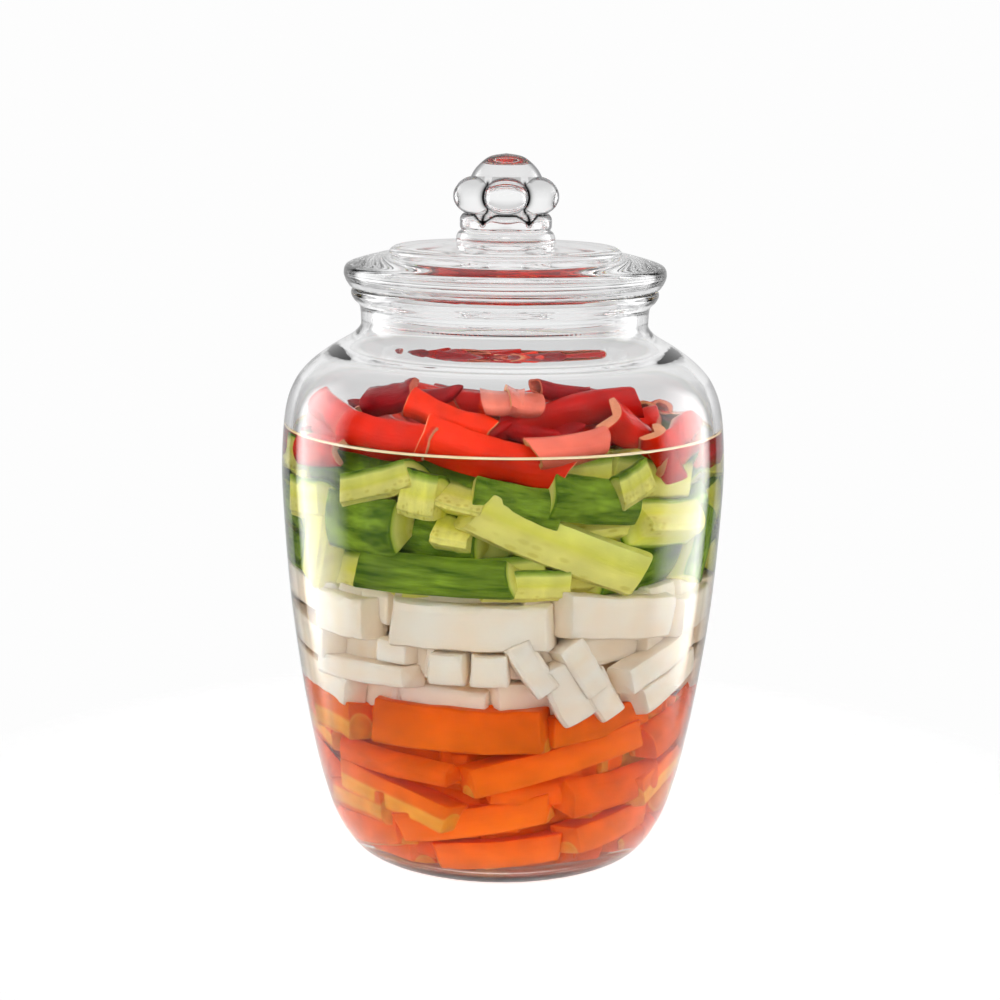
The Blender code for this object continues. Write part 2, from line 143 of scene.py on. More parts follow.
JAR_SIDE = (
    (BASE_RADIUS, 0.0),
    (52.0 * MM, 1.6 * MM),
    (58.0 * MM, 5.4 * MM),
    (64.3 * MM, 16.4 * MM),
    (69.4 * MM, 32.8 * MM),
    (74.8 * MM, 60.0 * MM),
    (80.1 * MM, 98.0 * MM),
    (82.9 * MM, BELLY_HEIGHT - 14.0 * MM),
    (83.1 * MM, BELLY_HEIGHT + 5.0 * MM),
    (81.6 * MM, 171.0 * MM),
    (78.2 * MM, 180.6 * MM),
    (72.8 * MM, 187.2 * MM),
    (65.2 * MM, 193.0 * MM),
    (57.2 * MM, 197.8 * MM),
    (NECK_RADIUS + 0.3 * MM, 201.2 * MM),
    (NECK_RADIUS, NECK_HEIGHT),
)
LIP = (
    (MOUTH_RADIUS, NECK_HEIGHT - 1.0 * MM),
    (MOUTH_RADIUS, LIP_TOP - 3.4 * MM),
    (MOUTH_RADIUS + 0.5 * MM, LIP_TOP - 1.2 * MM),
    (LIP_INNER_RADIUS, LIP_TOP),
    (LIP_RADIUS - 0.9 * MM, LIP_TOP),
    (LIP_RADIUS, LIP_TOP - 0.9 * MM),
    (LIP_RADIUS, LIP_TOP - 2.4 * MM),
    (LIP_RADIUS - 1.0 * MM, LIP_TOP - 4.2 * MM),
    (NECK_RADIUS + 0.5 * MM, LIP_TOP - 6.6 * MM),
    (NECK_RADIUS, NECK_HEIGHT),
)
JAR_UNDER = (
    (BASE_RECESS_RADIUS + 3.0 * MM, 0.0),
    (BASE_RECESS_RADIUS, 0.0),
    (BASE_RECESS_RADIUS - 0.6 * MM, 0.5 * MM),
    (BASE_RECESS_RADIUS - 2.0 * MM, BASE_RECESS_DEPTH),
    (BASE_RECESS_RADIUS - 8.0 * MM, BASE_RECESS_DEPTH),
    (0.0, BASE_RECESS_DEPTH),
)
LID_UNDER = (
    (0.0, LID_UNDERSIDE),
    (PLUG_INNER_RADIUS - 3.0 * MM, LID_UNDERSIDE - 0.6 * MM),
    (PLUG_INNER_RADIUS - 0.6 * MM, LID_UNDERSIDE - 2.6 * MM),
    (PLUG_INNER_RADIUS, PLUG_BOTTOM + 1.4 * MM),
    (PLUG_INNER_RADIUS + 1.0 * MM, PLUG_BOTTOM),
    (PLUG_RADIUS - 1.2 * MM, PLUG_BOTTOM),
    (PLUG_RADIUS - 0.2 * MM, PLUG_BOTTOM + 1.4 * MM),
    (PLUG_RADIUS, LID_SEAT - 1.0 * MM),
    (PLUG_RADIUS + 2.0 * MM, LID_SEAT),
    (LID_RADIUS - 3.4 * MM, LID_SEAT),
    (LID_RADIUS - 1.3 * MM, LID_SEAT + 1.8 * MM),
    (LID_RADIUS - 0.2 * MM, LID_EDGE_HEIGHT - 1.6 * MM),
    (LID_RADIUS, LID_EDGE_HEIGHT),
    (LID_RADIUS - 0.4 * MM, LID_EDGE_HEIGHT + 1.8 * MM),
    (LID_RADIUS - 1.8 * MM, LID_EDGE_HEIGHT + 3.2 * MM),
    (54.0 * MM, 226.1 * MM),
    (STEP_RADIUS + 4.0 * MM, 227.9 * MM),
    (STEP_RADIUS + 0.6 * MM, 228.4 * MM),
    (STEP_RADIUS, 229.4 * MM),
    (STEP_RADIUS - 1.6 * MM, STEP_TOP - 0.6 * MM),
    (STEP_RADIUS - 4.4 * MM, STEP_TOP),
    (KNOB_FOOT_RADIUS + 8.0 * MM, 232.0 * MM),
    (KNOB_FOOT_RADIUS + 0.8 * MM, 232.4 * MM),
)
KNOB_SIDE = (
    (KNOB_FOOT_RADIUS, KNOB_FOOT_HEIGHT + 0.2 * MM),
    (KNOB_FOOT_RADIUS, KNOB_FOOT_HEIGHT + 1.6 * MM),
    (KNOB_FOOT_RADIUS - 0.6 * MM, KNOB_FOOT_HEIGHT + 3.4 * MM),
    (KNOB_DRUM_RADIUS - 0.6 * MM, KNOB_FOOT_HEIGHT + 4.4 * MM),
    (KNOB_DRUM_RADIUS, KNOB_FOOT_HEIGHT + 5.8 * MM),
    (KNOB_DRUM_RADIUS, KNOB_DRUM_TOP - 1.2 * MM),
    (KNOB_DRUM_RADIUS - 1.2 * MM, KNOB_DRUM_TOP + 0.8 * MM),
    (KNOB_CORE_RADIUS, KNOB_DRUM_TOP + 3.0 * MM),
    (KNOB_CORE_RADIUS + 0.2 * MM, LOBE_HEIGHT + 4.6 * MM),
    (12.6 * MM, 257.6 * MM),
    (10.2 * MM, 260.8 * MM),
    (6.0 * MM, 263.9 * MM),
    (0.0, KNOB_TOP),
)

# Front pieces. Azimuth (0 faces -Y, + towards +X), height, length, height of the section, depth,
# tilt in the wall's plane, how far the piece lies behind the glass, and its shape.
CARROT_FRONT = (
    (-14, 64, 62, 18, 15, 0, 0, "slab"),
    (20, 51.5, 64, 12, 14, 13, 0, "slab"),
    (-37, 48, 47, 10, 14, -3, 0, "rounded"),
    (-40, 34, 49, 13, 14, -11, 0, "streak"),
    (43, 38, 41, 15, 16, 4, 0, "rounded"),
    (-10, 28, 56, 12, 15, 12, 0, "slab"),
    (0, 14.5, 44, 11, 15, 6, 0, "slab"),
    (45, 22, 34, 12, 15, 10, 0, "slab"),
    (-61, 62, 26, 17, 18, 0, 0, "streak"),
    (66, 56, 30, 15, 16, 12, 0, "rounded"),
    (-55, 18, 30, 12, 14, 10, 0, "slab"),
    (14, 40, 34, 11, 14, -4, 6, "rounded"),
    (34, 65, 40, 12, 14, 6, 5, "slab"),
    (-28, 16, 32, 10, 14, -14, 4, "rounded"),
    (68, 38, 34, 13, 14, 14, 0, "streak"),
)
RADISH_FRONT = (
    (-9, 103, 56, 18, 16, 0, 0, "block"),
    (-50, 102, 26, 17, 16, 0, 0, "block"),
    (-15, 88, 13, 12, 30, 0, 0, "end"),
    (-3, 88, 13.5, 12, 30, 0, 0, "end"),
    (9, 89, 22, 11, 22, -58, 0, "block"),
    (-45, 82, 44, 9, 14, 3, 0, "block"),
    (24, 88, 22, 11, 18, -58, 0, "block"),
    (36, 106, 46, 17, 16, -7, 0, "block"),
    (52, 85, 34, 11, 14, 16, 0, "block"),
    (59, 70, 34, 12, 14, 18, 0, "block"),
    (20, 73, 24, 15, 18, -66, 0, "rounded"),
    (31, 76, 20, 11, 16, -58, 1, "rounded"),
    (-32, 92, 13, 9, 26, 0, 3, "end"),
    (68, 101, 26, 15, 16, 4, 0, "block"),
    (-70, 90, 30, 13, 14, -6, 0, "block"),
)
CUCUMBER_FRONT = (
    (17, 132, 68, 17.5, 16, -24, 0, "broad"),
    (-20, 121, 58, 15, 17, 0, 0, "skin_out"),
    (-41, 137, 30, 21, 18, 0, 0, "skin_out"),
    (-35, 153, 32, 12, 18, 17, 0, "flesh_out"),
    (-22, 150, 14, 18, 22, -8, 1, "flesh_out"),
    (-12, 147, 18, 13, 24, -12, 2, "core_out"),
    (-14, 135, 13, 16, 26, -8, 2, "core_out"),
    (26, 148, 33, 17, 18, -8, 2, "skin_out"),
    (4, 147, 30, 15, 18, -10, 5, "skin_out"),
    (36, 157, 15, 14, 14, 24, 0, "flesh_out"),
    (54, 136, 34, 18, 18, -6, 0, "core_out"),
    (-60, 120, 30, 14, 18, 74, 0, "flesh_out"),
    (-64, 142, 26, 16, 18, 6, 0, "flesh_out"),
    (8, 118, 30, 12, 16, 0, 8, "flesh_out"),
    (70, 122, 28, 15, 18, 60, 0, "skin_out"),
)
CHILLI_FRONT = (
    (-3, 163, 55, 17, 8, -13, 0, "strip", 0.76),
    (22, 176, 62, 15, 13, 191, 2, "pod", 0.36),
    (-43, 179, 26, 11, 8, 14, 3, "strip", 0.05),
    (-25, 181, 19, 8, 9, 18, 9, "pod", 0.1),
    (-19, 174, 34, 12, 9, -16, 5, "strip", 0.78),
    (0, 179, 16, 11, 22, 4, 7, "tube", 0.97),
    (7.5, 178.5, 13, 12, 24, -10, 6, "tube", 0.95),
    (-36, 167, 42, 15, 8, -3, 0, "strip", 0.62),
    (45, 168, 32, 14, 10, -30, 1, "strip", 0.5),
    (19, 165.5, 30, 13, 12, 8, 0, "tube", 0.93),
    (30, 183, 28, 8, 9, -8, 14, "pod", 0.12),
    (60, 163, 36, 15, 9, 12, 0, "strip", 0.6),
    (50, 156, 22, 12, 10, -60, 0, "strip", 0.65),
    (-62, 170, 36, 14, 9, -10, 0, "strip", 0.55),
    (-60, 159, 30, 12, 9, 6, 0, "strip", 0.7),
    (-9, 170, 26, 10, 12, 10, 12, "pod", 0.3),
    (12, 169, 30, 10, 12, -14, 16, "pod", 0.25),
)

# Rings of chilli round the heap: height, how far in, how many pieces
CHILLI_RINGS = ((158, 0, 13), (165, 2, 13), (160, 14, 12), (167, 13, 11), (163, 28, 9))
BACK_DROP = 1.5  # mm that the rings lie lower at the back

# Loose chillies over the middle of the heap
CHILLI_MIDDLE_COUNT = 18
CHILLI_MIDDLE_HEIGHT = 169.5
CHILLI_MIDDLE_INSETS = (40, 56, 74)

# Long chillies that lie level over the middle of the heap: azimuth, how far in, length, height
CHILLI_CROWN = (
    (-26, 30, 60, 175.4),
    (24, 32, 60, 175.4),
    (-1, 31, 54, 175.8),
    (0, 46, 72, 173.4),
    (-34, 48, 60, 172.6),
    (34, 48, 60, 172.6),
    (68, 34, 52, 171.0),
    (-70, 34, 52, 171.0),
    (0, 60, 70, 171.0),
    (180, 62, 62, 173.5),
    (168, 46, 60, 173.0),
    (196, 40, 56, 171.0),
    (152, 30, 54, 169.0),
    (210, 26, 54, 168.0),
    (112, 32, 52, 170.5),
    (250, 32, 50, 170.5),
)


def smooth_points(points, per_span):
    """Points along a smooth curve through the given ones."""
    ends = [Vector(points[0]), *map(Vector, points), Vector(points[-1])]
    found = []
    for before, start, end, after in zip(ends, ends[1:], ends[2:], ends[3:]):
        for step in range(per_span):
            t = step / per_span
            ease_in = (end - before) * 0.5
            ease_out = (after - start) * 0.5
            span = (end - start).length
            ease_in *= min(1.0, 1.6 * span / max(ease_in.length, 1e-9))
            ease_out *= min(1.0, 1.6 * span / max(ease_out.length, 1e-9))
            a = 2 * t**3 - 3 * t**2 + 1
            b = t**3 - 2 * t**2 + t
            c = t**3 - t**2
            found.append(a * start + b * ease_in + (1 - a) * end + c * ease_out)
    found.append(Vector(points[-1]))
    return found


def bell(value, width):
    """1 at nothing, and near 0 from two widths on."""
    return math.exp(-((value / width) ** 2))


def clamped(value):
    return min(1.0, max(0.0, value))


def linked(name, data):
    """A new object in the scene."""
    obj = bpy.data.objects.new(name, data)
    bpy.context.scene.collection.objects.link(obj)
    return obj


def mark(mesh, label, values, kind="FLOAT"):
    """Gives each point of a mesh a value of its own."""
    key = "vector" if kind == "FLOAT_VECTOR" else "value"
    mesh.attributes.new(label, kind, "POINT").data.foreach_set(key, values)


def inner_side():
    """The jar's inner wall, from the floor up to the neck: the outer side moved in by the wall."""
    outer = smooth_points(JAR_SIDE, WALL_POINTS)
    inner = []
    for before, here, after in zip(outer, outer[1:], outer[2:]):
        along = (after - before).normalized()
        thick = WALL + NECK_SWELL * bell(here.y - NECK_SWELL_HEIGHT, NECK_SWELL_WIDTH)
        moved = here + Vector((-along.y, along.x)) * thick
        if moved.y > FLOOR_THICKNESS + FLOOR_CORNER_RISE and moved.x > MOUTH_RADIUS:
            inner.append(moved)
    return inner


INNER_SIDE = inner_side()


def inner_radius(height):
    """The inner wall's radius at a height, with the floor's round corner below it."""
    if height <= INNER_SIDE[0].y:
        share = (height - FLOOR_THICKNESS) / (INNER_SIDE[0].y - FLOOR_THICKNESS)
        spread = INNER_SIDE[0].x - FLOOR_RADIUS
        return FLOOR_RADIUS + spread * math.sqrt(max(0.0, share))
    for low, high in zip(INNER_SIDE, INNER_SIDE[1:]):
        if height <= high.y:
            share = (height - low.y) / (high.y - low.y)
            return low.x + share * (high.x - low.x)
    return MOUTH_RADIUS


def floor_corner(outward=0.0):
    """The inside floor from the middle out, and its round corner."""
    rises = [0.0, 0.15, 0.4, 0.8, 1.4, 2.2]
    corner = [
        Vector((inner_radius(FLOOR_THICKNESS + r * MM) + outward, FLOOR_THICKNESS + r * MM))
        for r in rises
    ]
    flat = [Vector((FLOOR_RADIUS * share, FLOOR_THICKNESS)) for share in (0, 0.4, 0.8, 0.95)]
    return flat + corner


def turned(name, outline, steps=TURN_STEPS, swell=None):
    """A closed turned mesh from an outline that starts and ends on the axis."""
    points = []
    faces = []
    rings = []
    for radius, height in outline:
        if radius < 1e-7:
            rings.append([len(points)])
            points.append((0.0, 0.0, height))
            continue
        ring = []
        for step in range(steps):
            angle = math.tau * step / steps
            reach = swell(angle, radius, height) if swell else radius
            ring.append(len(points))
            points.append((reach * math.sin(angle), -reach * math.cos(angle), height))
        rings.append(ring)
    for low, high in zip(rings, rings[1:]):
        for step in range(steps):
            beside = (step + 1) % steps
            if len(low) == 1:
                faces.append((low[0], high[beside], high[step]))
            elif len(high) == 1:
                faces.append((low[step], low[beside], high[0]))
            else:
                faces.append((low[step], low[beside], high[beside], high[step]))
    mesh = bpy.data.meshes.new(name)
    mesh.from_pydata(points, [], faces)
    mesh.validate()
    if volume_of(mesh) < 0:
        mesh.flip_normals()
    mesh.shade_smooth()
    return linked(name, mesh)


def volume_of(mesh):
    """The signed volume inside a closed mesh: negative where it is inside out."""
    mesh.calc_loop_triangles()
    total = 0.0
    for triangle in mesh.loop_triangles:
        a, b, c = (mesh.vertices[i].co for i in triangle.vertices)
        total += a.dot(b.cross(c))
    return total / 6.0


def lobe_swell(angle, radius, height):
    """The knob's radius where its round lobes stand out, blended softly into its side."""
    flute = math.cos(LOBE_COUNT * angle)
    groove = ARCH_GROOVE * arch_line(angle, height)
    drum = max(0.0, 1.0 - abs(height - KNOB_DRUM_TOP + 2.5 * MM) / (4.5 * MM))
    radius += DRUM_FLUTE * flute * drum
    rise = (height - LOBE_HEIGHT) / LOBE_TALL
    if abs(rise) >= 1.0:
        return radius - groove
    wide = LOBE_WIDE * math.sqrt(1.0 - rise * rise)
    turned_by = angle - round(angle / LOBE_PITCH) * LOBE_PITCH
    aside = LOBE_CIRCLE * math.sin(turned_by)
    if abs(aside) < wide:
        lobe = LOBE_CIRCLE * math.cos(turned_by) + math.sqrt(wide * wide - aside * aside)
    else:
        lobe = LOBE_CIRCLE - (abs(aside) - wide)
    mix = max(LOBE_BLEND - abs(lobe - radius), 0.0) / LOBE_BLEND
    return max(lobe, radius) + mix * mix * LOBE_BLEND * 0.25 - groove


def lobe_place(angle):
    """The angle from the middle of the nearest lobe, in degrees."""
    return abs(math.degrees(angle - round(angle / LOBE_PITCH) * LOBE_PITCH))


def arch_line(angle, height):
    """How near a point is to the arched line under its lobe."""
    aside = lobe_place(angle)
    arch = ARCH_TOP - ARCH_DROP * clamped((aside - ARCH_FLAT) / ARCH_FALL) ** 1.5
    return bell(height - arch, ARCH_WIDTH)


def knob_crease_shade(angle, height):
    """The painted shade lines of the knob: between its lobes, round each one, and the arch below
    it.
    """
    if height < KNOB_DRUM_TOP - 4 * MM:
        return 0.0
    aside = lobe_place(angle)
    between = bell(math.radians(30.0 - aside) * CREASE_RADIUS, CREASE_SHADE_WIDTH)
    between *= clamped((LOBE_HEIGHT + 6.2 * MM - height) / CREASE_SHADE_FADE)
    between *= clamped((height - ARCH_TOP + ARCH_DROP) / CREASE_SHADE_FADE)
    rise = (height - LOBE_HEIGHT) / LOBE_TALL
    reach = lobe_swell(angle, KNOB_CORE_RADIUS, height) - KNOB_CORE_RADIUS
    top = bell(reach - 0.6 * MM, 0.8 * MM) if 0.3 < rise < 1.05 and aside < 24 else 0.0
    return min(1.0, between + arch_line(angle, height) + 0.8 * top)


def finer(outline, start, end, step):
    """The outline with points no further apart in height than the step, between two heights."""
    found = [outline[0]]
    for low, high in zip(outline, outline[1:]):
        if start < low[1] < end:
            count = max(1, math.ceil(abs(high[1] - low[1]) / step))
            for index in range(1, count):
                found.append(Vector(low).lerp(Vector(high), index / count))
        found.append(high)
    return found


# Shader node helpers


def add(tree, kind, inputs=None, **settings):
    """A new node. An input that is given as a socket is linked, and any other is set."""
    made = tree.nodes.new(kind)
    for key, value in settings.items():
        setattr(made, key, value)
    for key, value in (inputs or {}).items():
        if isinstance(value, bpy.types.NodeSocket):
            tree.links.new(value, made.inputs[key])
        else:
            made.inputs[key].default_value = value
    return made


def colour(red, green, blue):
    return (red, green, blue, 1.0)


def grey(value):
    return colour(value, value, value)


def placed(tree, group, inputs):
    """One use of a node group."""
    return add(tree, "ShaderNodeGroup", inputs, node_tree=group)


def maths(tree, operation, first, second=None, **settings):
    inputs = {0: first} if second is None else {0: first, 1: second}
    return add(tree, "ShaderNodeMath", inputs, operation=operation, **settings).outputs["Value"]


def vectors(tree, operation, first, second=None):
    inputs = {0: first} if second is None else {0: first, 1: second}
    made = add(tree, "ShaderNodeVectorMath", inputs, operation=operation)
    return made.outputs["Value" if operation == "LENGTH" else "Vector"]


def attribute(tree, name, output="Fac"):
    return add(tree, "ShaderNodeAttribute", attribute_name=name).outputs[output]


def ramp(tree, value, stops):
    """A colour ramp with the given (place, colour) stops."""
    made = add(tree, "ShaderNodeValToRGB", {"Fac": value})
    elements = made.color_ramp.elements
    while len(elements) < len(stops):
        elements.new(0.5)
    for element, (place, shade) in zip(elements, stops):
        element.position = place
        element.color = shade
    return made.outputs["Color"]


def grey_ramp(tree, value, stops):
    return ramp(tree, value, [(place, grey(level)) for place, level in stops])


def times(tree, shade, value):
    """A colour or vector scaled by a value."""
    made = add(tree, "ShaderNodeVectorMath", {0: shade, "Scale": value}, operation="SCALE")
    return made.outputs["Vector"]


def range_of(tree, value, from_min, from_max, to_min, to_max):
    inputs = {
        "Value": value,
        "From Min": from_min,
        "From Max": from_max,
        "To Min": to_min,
        "To Max": to_max,
    }
    return add(tree, "ShaderNodeMapRange", inputs).outputs["Result"]


def blended(tree, factor, low, high):
    inputs = {"Factor": factor, "A": low, "B": high}
    return add(tree, "ShaderNodeMix", inputs, data_type="RGBA").outputs["Result"]


def raised(tree, shader, height, strength, distance):
    """A little relief on the surface."""
    inputs = {"Height": height, "Strength": strength, "Distance": distance}
    bump = add(tree, "ShaderNodeBump", inputs)
    tree.links.new(bump.outputs["Normal"], shader.inputs["Normal"])


def new_group(name, inputs, outputs):
    group = bpy.data.node_groups.new(name, "ShaderNodeTree")
    for label, kind, value in inputs:
        socket = group.interface.new_socket(name=label, in_out="INPUT", socket_type=kind)
        if value is not None:
            socket.default_value = value
    for label, kind in outputs:
        group.interface.new_socket(name=label, in_out="OUTPUT", socket_type=kind)
    return group, group.nodes.new("NodeGroupInput"), group.nodes.new("NodeGroupOutput")


def mottle_group():
    """Soft uneven patches: a value between Low and High."""
    group, entry, leave = new_group(
        "wet_mottle",
        (
            ("Vector", "NodeSocketVector", None),
            ("Scale", "NodeSocketFloat", 0.1),
            ("Low", "NodeSocketFloat", 0.8),
            ("High", "NodeSocketFloat", 1.1),
        ),
        (("Value", "NodeSocketFloat"),),
    )
    cloud = add(
        group,
        "ShaderNodeTexNoise",
        {"Vector": entry.outputs["Vector"], "Scale": entry.outputs["Scale"], "Detail": 3.0},
    )
    ends = entry.outputs["Low"], entry.outputs["High"]
    spread = range_of(group, cloud.outputs["Fac"], 0.3, 0.7, *ends)
    group.links.new(spread, leave.inputs["Value"])
    return group


def fibre_group():
    """Fine fibres that run along a cut stick."""
    group, entry, leave = new_group(
        "cut_fibres",
        (
            ("Vector", "NodeSocketVector", None),
            ("Along", "NodeSocketFloat", 0.12),
            ("Across", "NodeSocketFloat", 1.6),
        ),
        (("Height", "NodeSocketFloat"),),
    )
    parts = add(group, "ShaderNodeSeparateXYZ", {"Vector": entry.outputs["Vector"]})
    rates = {"X": "Along", "Y": "Across", "Z": "Across"}
    scaled = {
        axis: maths(group, "MULTIPLY", parts.outputs[axis], entry.outputs[rate])
        for axis, rate in rates.items()
    }
    drawn = add(group, "ShaderNodeCombineXYZ", scaled)
    cloud = add(
        group,
        "ShaderNodeTexNoise",
        {"Vector": drawn.outputs["Vector"], "Scale": 1.0, "Detail": 4.0, "Roughness": 0.6},
    )
    group.links.new(cloud.outputs["Fac"], leave.inputs["Height"])
    return group


def patchy(tree, mottle, place, scale, low=0.0, high=1.0):
    inputs = {"Vector": place, "Scale": scale, "Low": low, "High": high}
    return placed(tree, mottle, inputs).outputs["Value"]


def object_cloud(tree, mottle, scale):
    """Soft patches from 0 to 1 over a whole piece."""
    return patchy(tree, mottle, add(tree, "ShaderNodeTexCoord").outputs["Object"], scale)


def fibrous(tree, fibres, place, along, across):
    inputs = {"Vector": place, "Along": along, "Across": across}
    return placed(tree, fibres, inputs).outputs["Height"]


def set_inputs(shader, values):
    for key, value in values.items():
        shader.inputs[key].default_value = value


def food_finish(shader, roughness, gloss, scatter, reach):
    """A wet cut surface that lets light in a little way: reach is how far, for each colour."""
    values = {
        "Roughness": roughness,
        "Specular IOR Level": gloss,
        "Subsurface Weight": scatter,
        "Subsurface Radius": reach,
        "Subsurface Scale": 1.0,
    }
    set_inputs(shader, values)


def new_material(name):
    made = bpy.data.materials.new(name)
    made.use_nodes = True
    tree = made.node_tree
    shader = tree.nodes["Principled BSDF"]
    return made, tree, shader


def glass_material(mottle):
    """Clear glass with painted shade: dark where side_edge_shade says so and it is seen side on,
    and dark along the knob's creases.
    """
    made, tree, shader = new_material("clear_glass")
    # Painted shade: the glass turns dark grey where side_edge_shade is high and it is seen side
    # on, in place of the dark edges that refraction gives
    side_on = add(tree, "ShaderNodeLayerWeight", {"Blend": 0.5})
    edge = ramp(
        tree,
        maths(tree, "MULTIPLY", side_on.outputs["Facing"], attribute(tree, "side_edge_shade")),
        (
            (0.0, colour(0.985, 0.988, 0.988)),
            (0.70, colour(0.97, 0.97, 0.975)),
            (0.88, colour(0.26, 0.26, 0.27)),
            (1.0, colour(0.05, 0.05, 0.055)),
        ),
    )
    # Painted shade: the glass colour turns dark along the knob's crease lines
    open_glass = range_of(tree, attribute(tree, "crease"), 0.0, 0.85, 1.0, 0.0)
    tree.links.new(times(tree, edge, open_glass), shader.inputs["Base Color"])
    values = {
        "Roughness": 0.0,
        "IOR": 1.5,
        "Specular Tint": grey(0.04),
        "Transmission Weight": 1.0,
    }
    set_inputs(shader, values)
    raised(tree, shader, object_cloud(tree, mottle, 26.0), 0.2, 0.0002)
    return made


def brine_material(mottle, name, mirror):
    """Clear brine with a faint warm tint. mirror says how bright its reflections are."""
    made, tree, shader = new_material(name)
    values = {
        "Roughness": 0.0,
        "IOR": BRINE_IOR,
        "Specular Tint": grey(mirror),
        "Transmission Weight": 1.0,
    }
    set_inputs(shader, values)
    cloud = object_cloud(tree, mottle, 14.0)
    tint = blended(tree, cloud, colour(1.0, 0.995, 0.98), colour(1.0, 0.985, 0.955))
    tree.links.new(tint, shader.inputs["Base Color"])
    return made


def meniscus_highlight_material(mottle):
    """A painted highlight: the thin bright edge where the brine climbs the glass, a nearly opaque
    golden colour in place of the light it catches.
    """
    made, tree, shader = new_material("brine_edge_highlight")
    set_inputs(shader, {"Roughness": 0.15, "IOR": BRINE_IOR, "Transmission Weight": 0.1})
    cloud = object_cloud(tree, mottle, 60.0)
    tint = blended(tree, cloud, colour(0.92, 0.66, 0.34), colour(0.97, 0.86, 0.66))
    tree.links.new(tint, shader.inputs["Base Color"])
    return made


def local_place(tree):
    """A point's place in its vegetable in mm, shifted from piece to piece so that no two look
    alike, its distance from that vegetable's middle line, and the piece's own tone."""
    local = attribute(tree, "local", "Vector")
    tone = attribute(tree, "tone")
    parts = add(tree, "ShaderNodeSeparateXYZ", {"Vector": local}).outputs
    across = add(tree, "ShaderNodeCombineXYZ", {"Y": parts["Y"], "Z": parts["Z"]})
    moved_on = vectors(tree, "MULTIPLY", tone, (170.0, 90.0, 130.0))
    away = vectors(tree, "LENGTH", across.outputs["Vector"])
    return vectors(tree, "ADD", local, moved_on), away, tone


def carrot_material(mottle, fibres):
    made, tree, shader = new_material("carrot")
    place, away, tone = local_place(tree)
    grain = fibrous(tree, fibres, place, 0.05, 0.9)
    ring = range_of(tree, away, 0.0, 18.0, 0.0, 1.0)
    rings = ramp(
        tree,
        ring,
        (
            (0.0, colour(0.95, 0.36, 0.03)),
            (0.26, colour(0.93, 0.30, 0.02)),
            (0.33, colour(0.96, 0.40, 0.05)),
            (0.37, colour(0.93, 0.165, 0.004)),
            (1.0, colour(0.92, 0.125, 0.002)),
        ),
    )
    patches = patchy(tree, mottle, place, 0.09, 0.84, 1.12)
    toned = range_of(tree, tone, 0.0, 1.0, 0.86, 1.1)
    level = maths(tree, "MULTIPLY", patches, toned)
    tree.links.new(times(tree, rings, level), shader.inputs["Base Color"])
    food_finish(shader, 0.38, 0.06, 0.12, (0.003, 0.0012, 0.0005))
    raised(tree, shader, grain, 0.5, 0.0005)
    return made


def radish_material(mottle, fibres):
    made, tree, shader = new_material("radish")
    place, _, tone = local_place(tree)
    grain = fibrous(tree, fibres, place, 0.04, 0.7)
    patches = patchy(tree, mottle, place, 0.07)
    inner, outer = colour(1.0, 0.84, 0.66), colour(1.0, 0.92, 0.80)
    shade = blended(tree, patches, inner, outer)
    toned = range_of(tree, tone, 0.0, 1.0, 0.92, 1.0)
    # Painted shade: where skin is set, on the radish's core, the colour turns a warm tan for the
    # shadowed gaps between the sticks
    shade = blended(tree, attribute(tree, "skin"), shade, colour(0.92, 0.66, 0.38))
    tree.links.new(times(tree, shade, toned), shader.inputs["Base Color"])
    food_finish(shader, 0.4, 0.06, 0.3, (0.006, 0.0050, 0.0040))
    raised(tree, shader, grain, 0.3, 0.0004)
    return made


def cucumber_material(mottle, fibres):
    made, tree, shader = new_material("cucumber")
    place, away, tone = local_place(tree)
    ring = range_of(tree, away, 0.0, 17.0, 0.0, 1.0)
    flesh = ramp(
        tree,
        ring,
        (
            (0.0, colour(0.80, 0.76, 0.20)),
            (0.40, colour(0.84, 0.80, 0.22)),
            (0.52, colour(0.78, 0.76, 0.12)),
            (0.80, colour(0.80, 0.82, 0.22)),
            (0.93, colour(0.50, 0.62, 0.08)),
            (0.965, colour(0.12, 0.24, 0.015)),
        ),
    )
    stretched = vectors(tree, "MULTIPLY", place, (0.16, 0.34, 0.34))
    seeds = add(
        tree, "ShaderNodeTexVoronoi", {"Vector": stretched, "Scale": 1.0, "Randomness": 0.7}
    )
    spot = range_of(tree, seeds.outputs["Distance"], 0.22, 0.34, 1.0, 0.0)
    near = range_of(tree, ring, 0.28, 0.5, 1.0, 0.0)
    seed = maths(tree, "MULTIPLY", spot, near)
    seeded = blended(tree, seed, flesh, colour(0.70, 0.64, 0.13))
    streaks = range_of(tree, fibrous(tree, fibres, place, 0.05, 0.25), 0.35, 0.68, 0.0, 1.0)
    skin = blended(tree, streaks, colour(0.06, 0.125, 0.008), colour(0.27, 0.42, 0.036))
    whole = blended(tree, attribute(tree, "skin"), seeded, skin)
    patches = patchy(tree, mottle, place, 0.08, 0.86, 1.12)
    toned = range_of(tree, tone, 0.0, 1.0, 0.93, 1.14)
    level = maths(tree, "MULTIPLY", patches, toned)
    tree.links.new(times(tree, whole, level), shader.inputs["Base Color"])
    food_finish(shader, 0.36, 0.06, 0.18, (0.003, 0.0035, 0.0012))
    grain = fibrous(tree, fibres, place, 0.14, 0.5)
    raised(tree, shader, grain, 0.5, 0.0006)
    return made


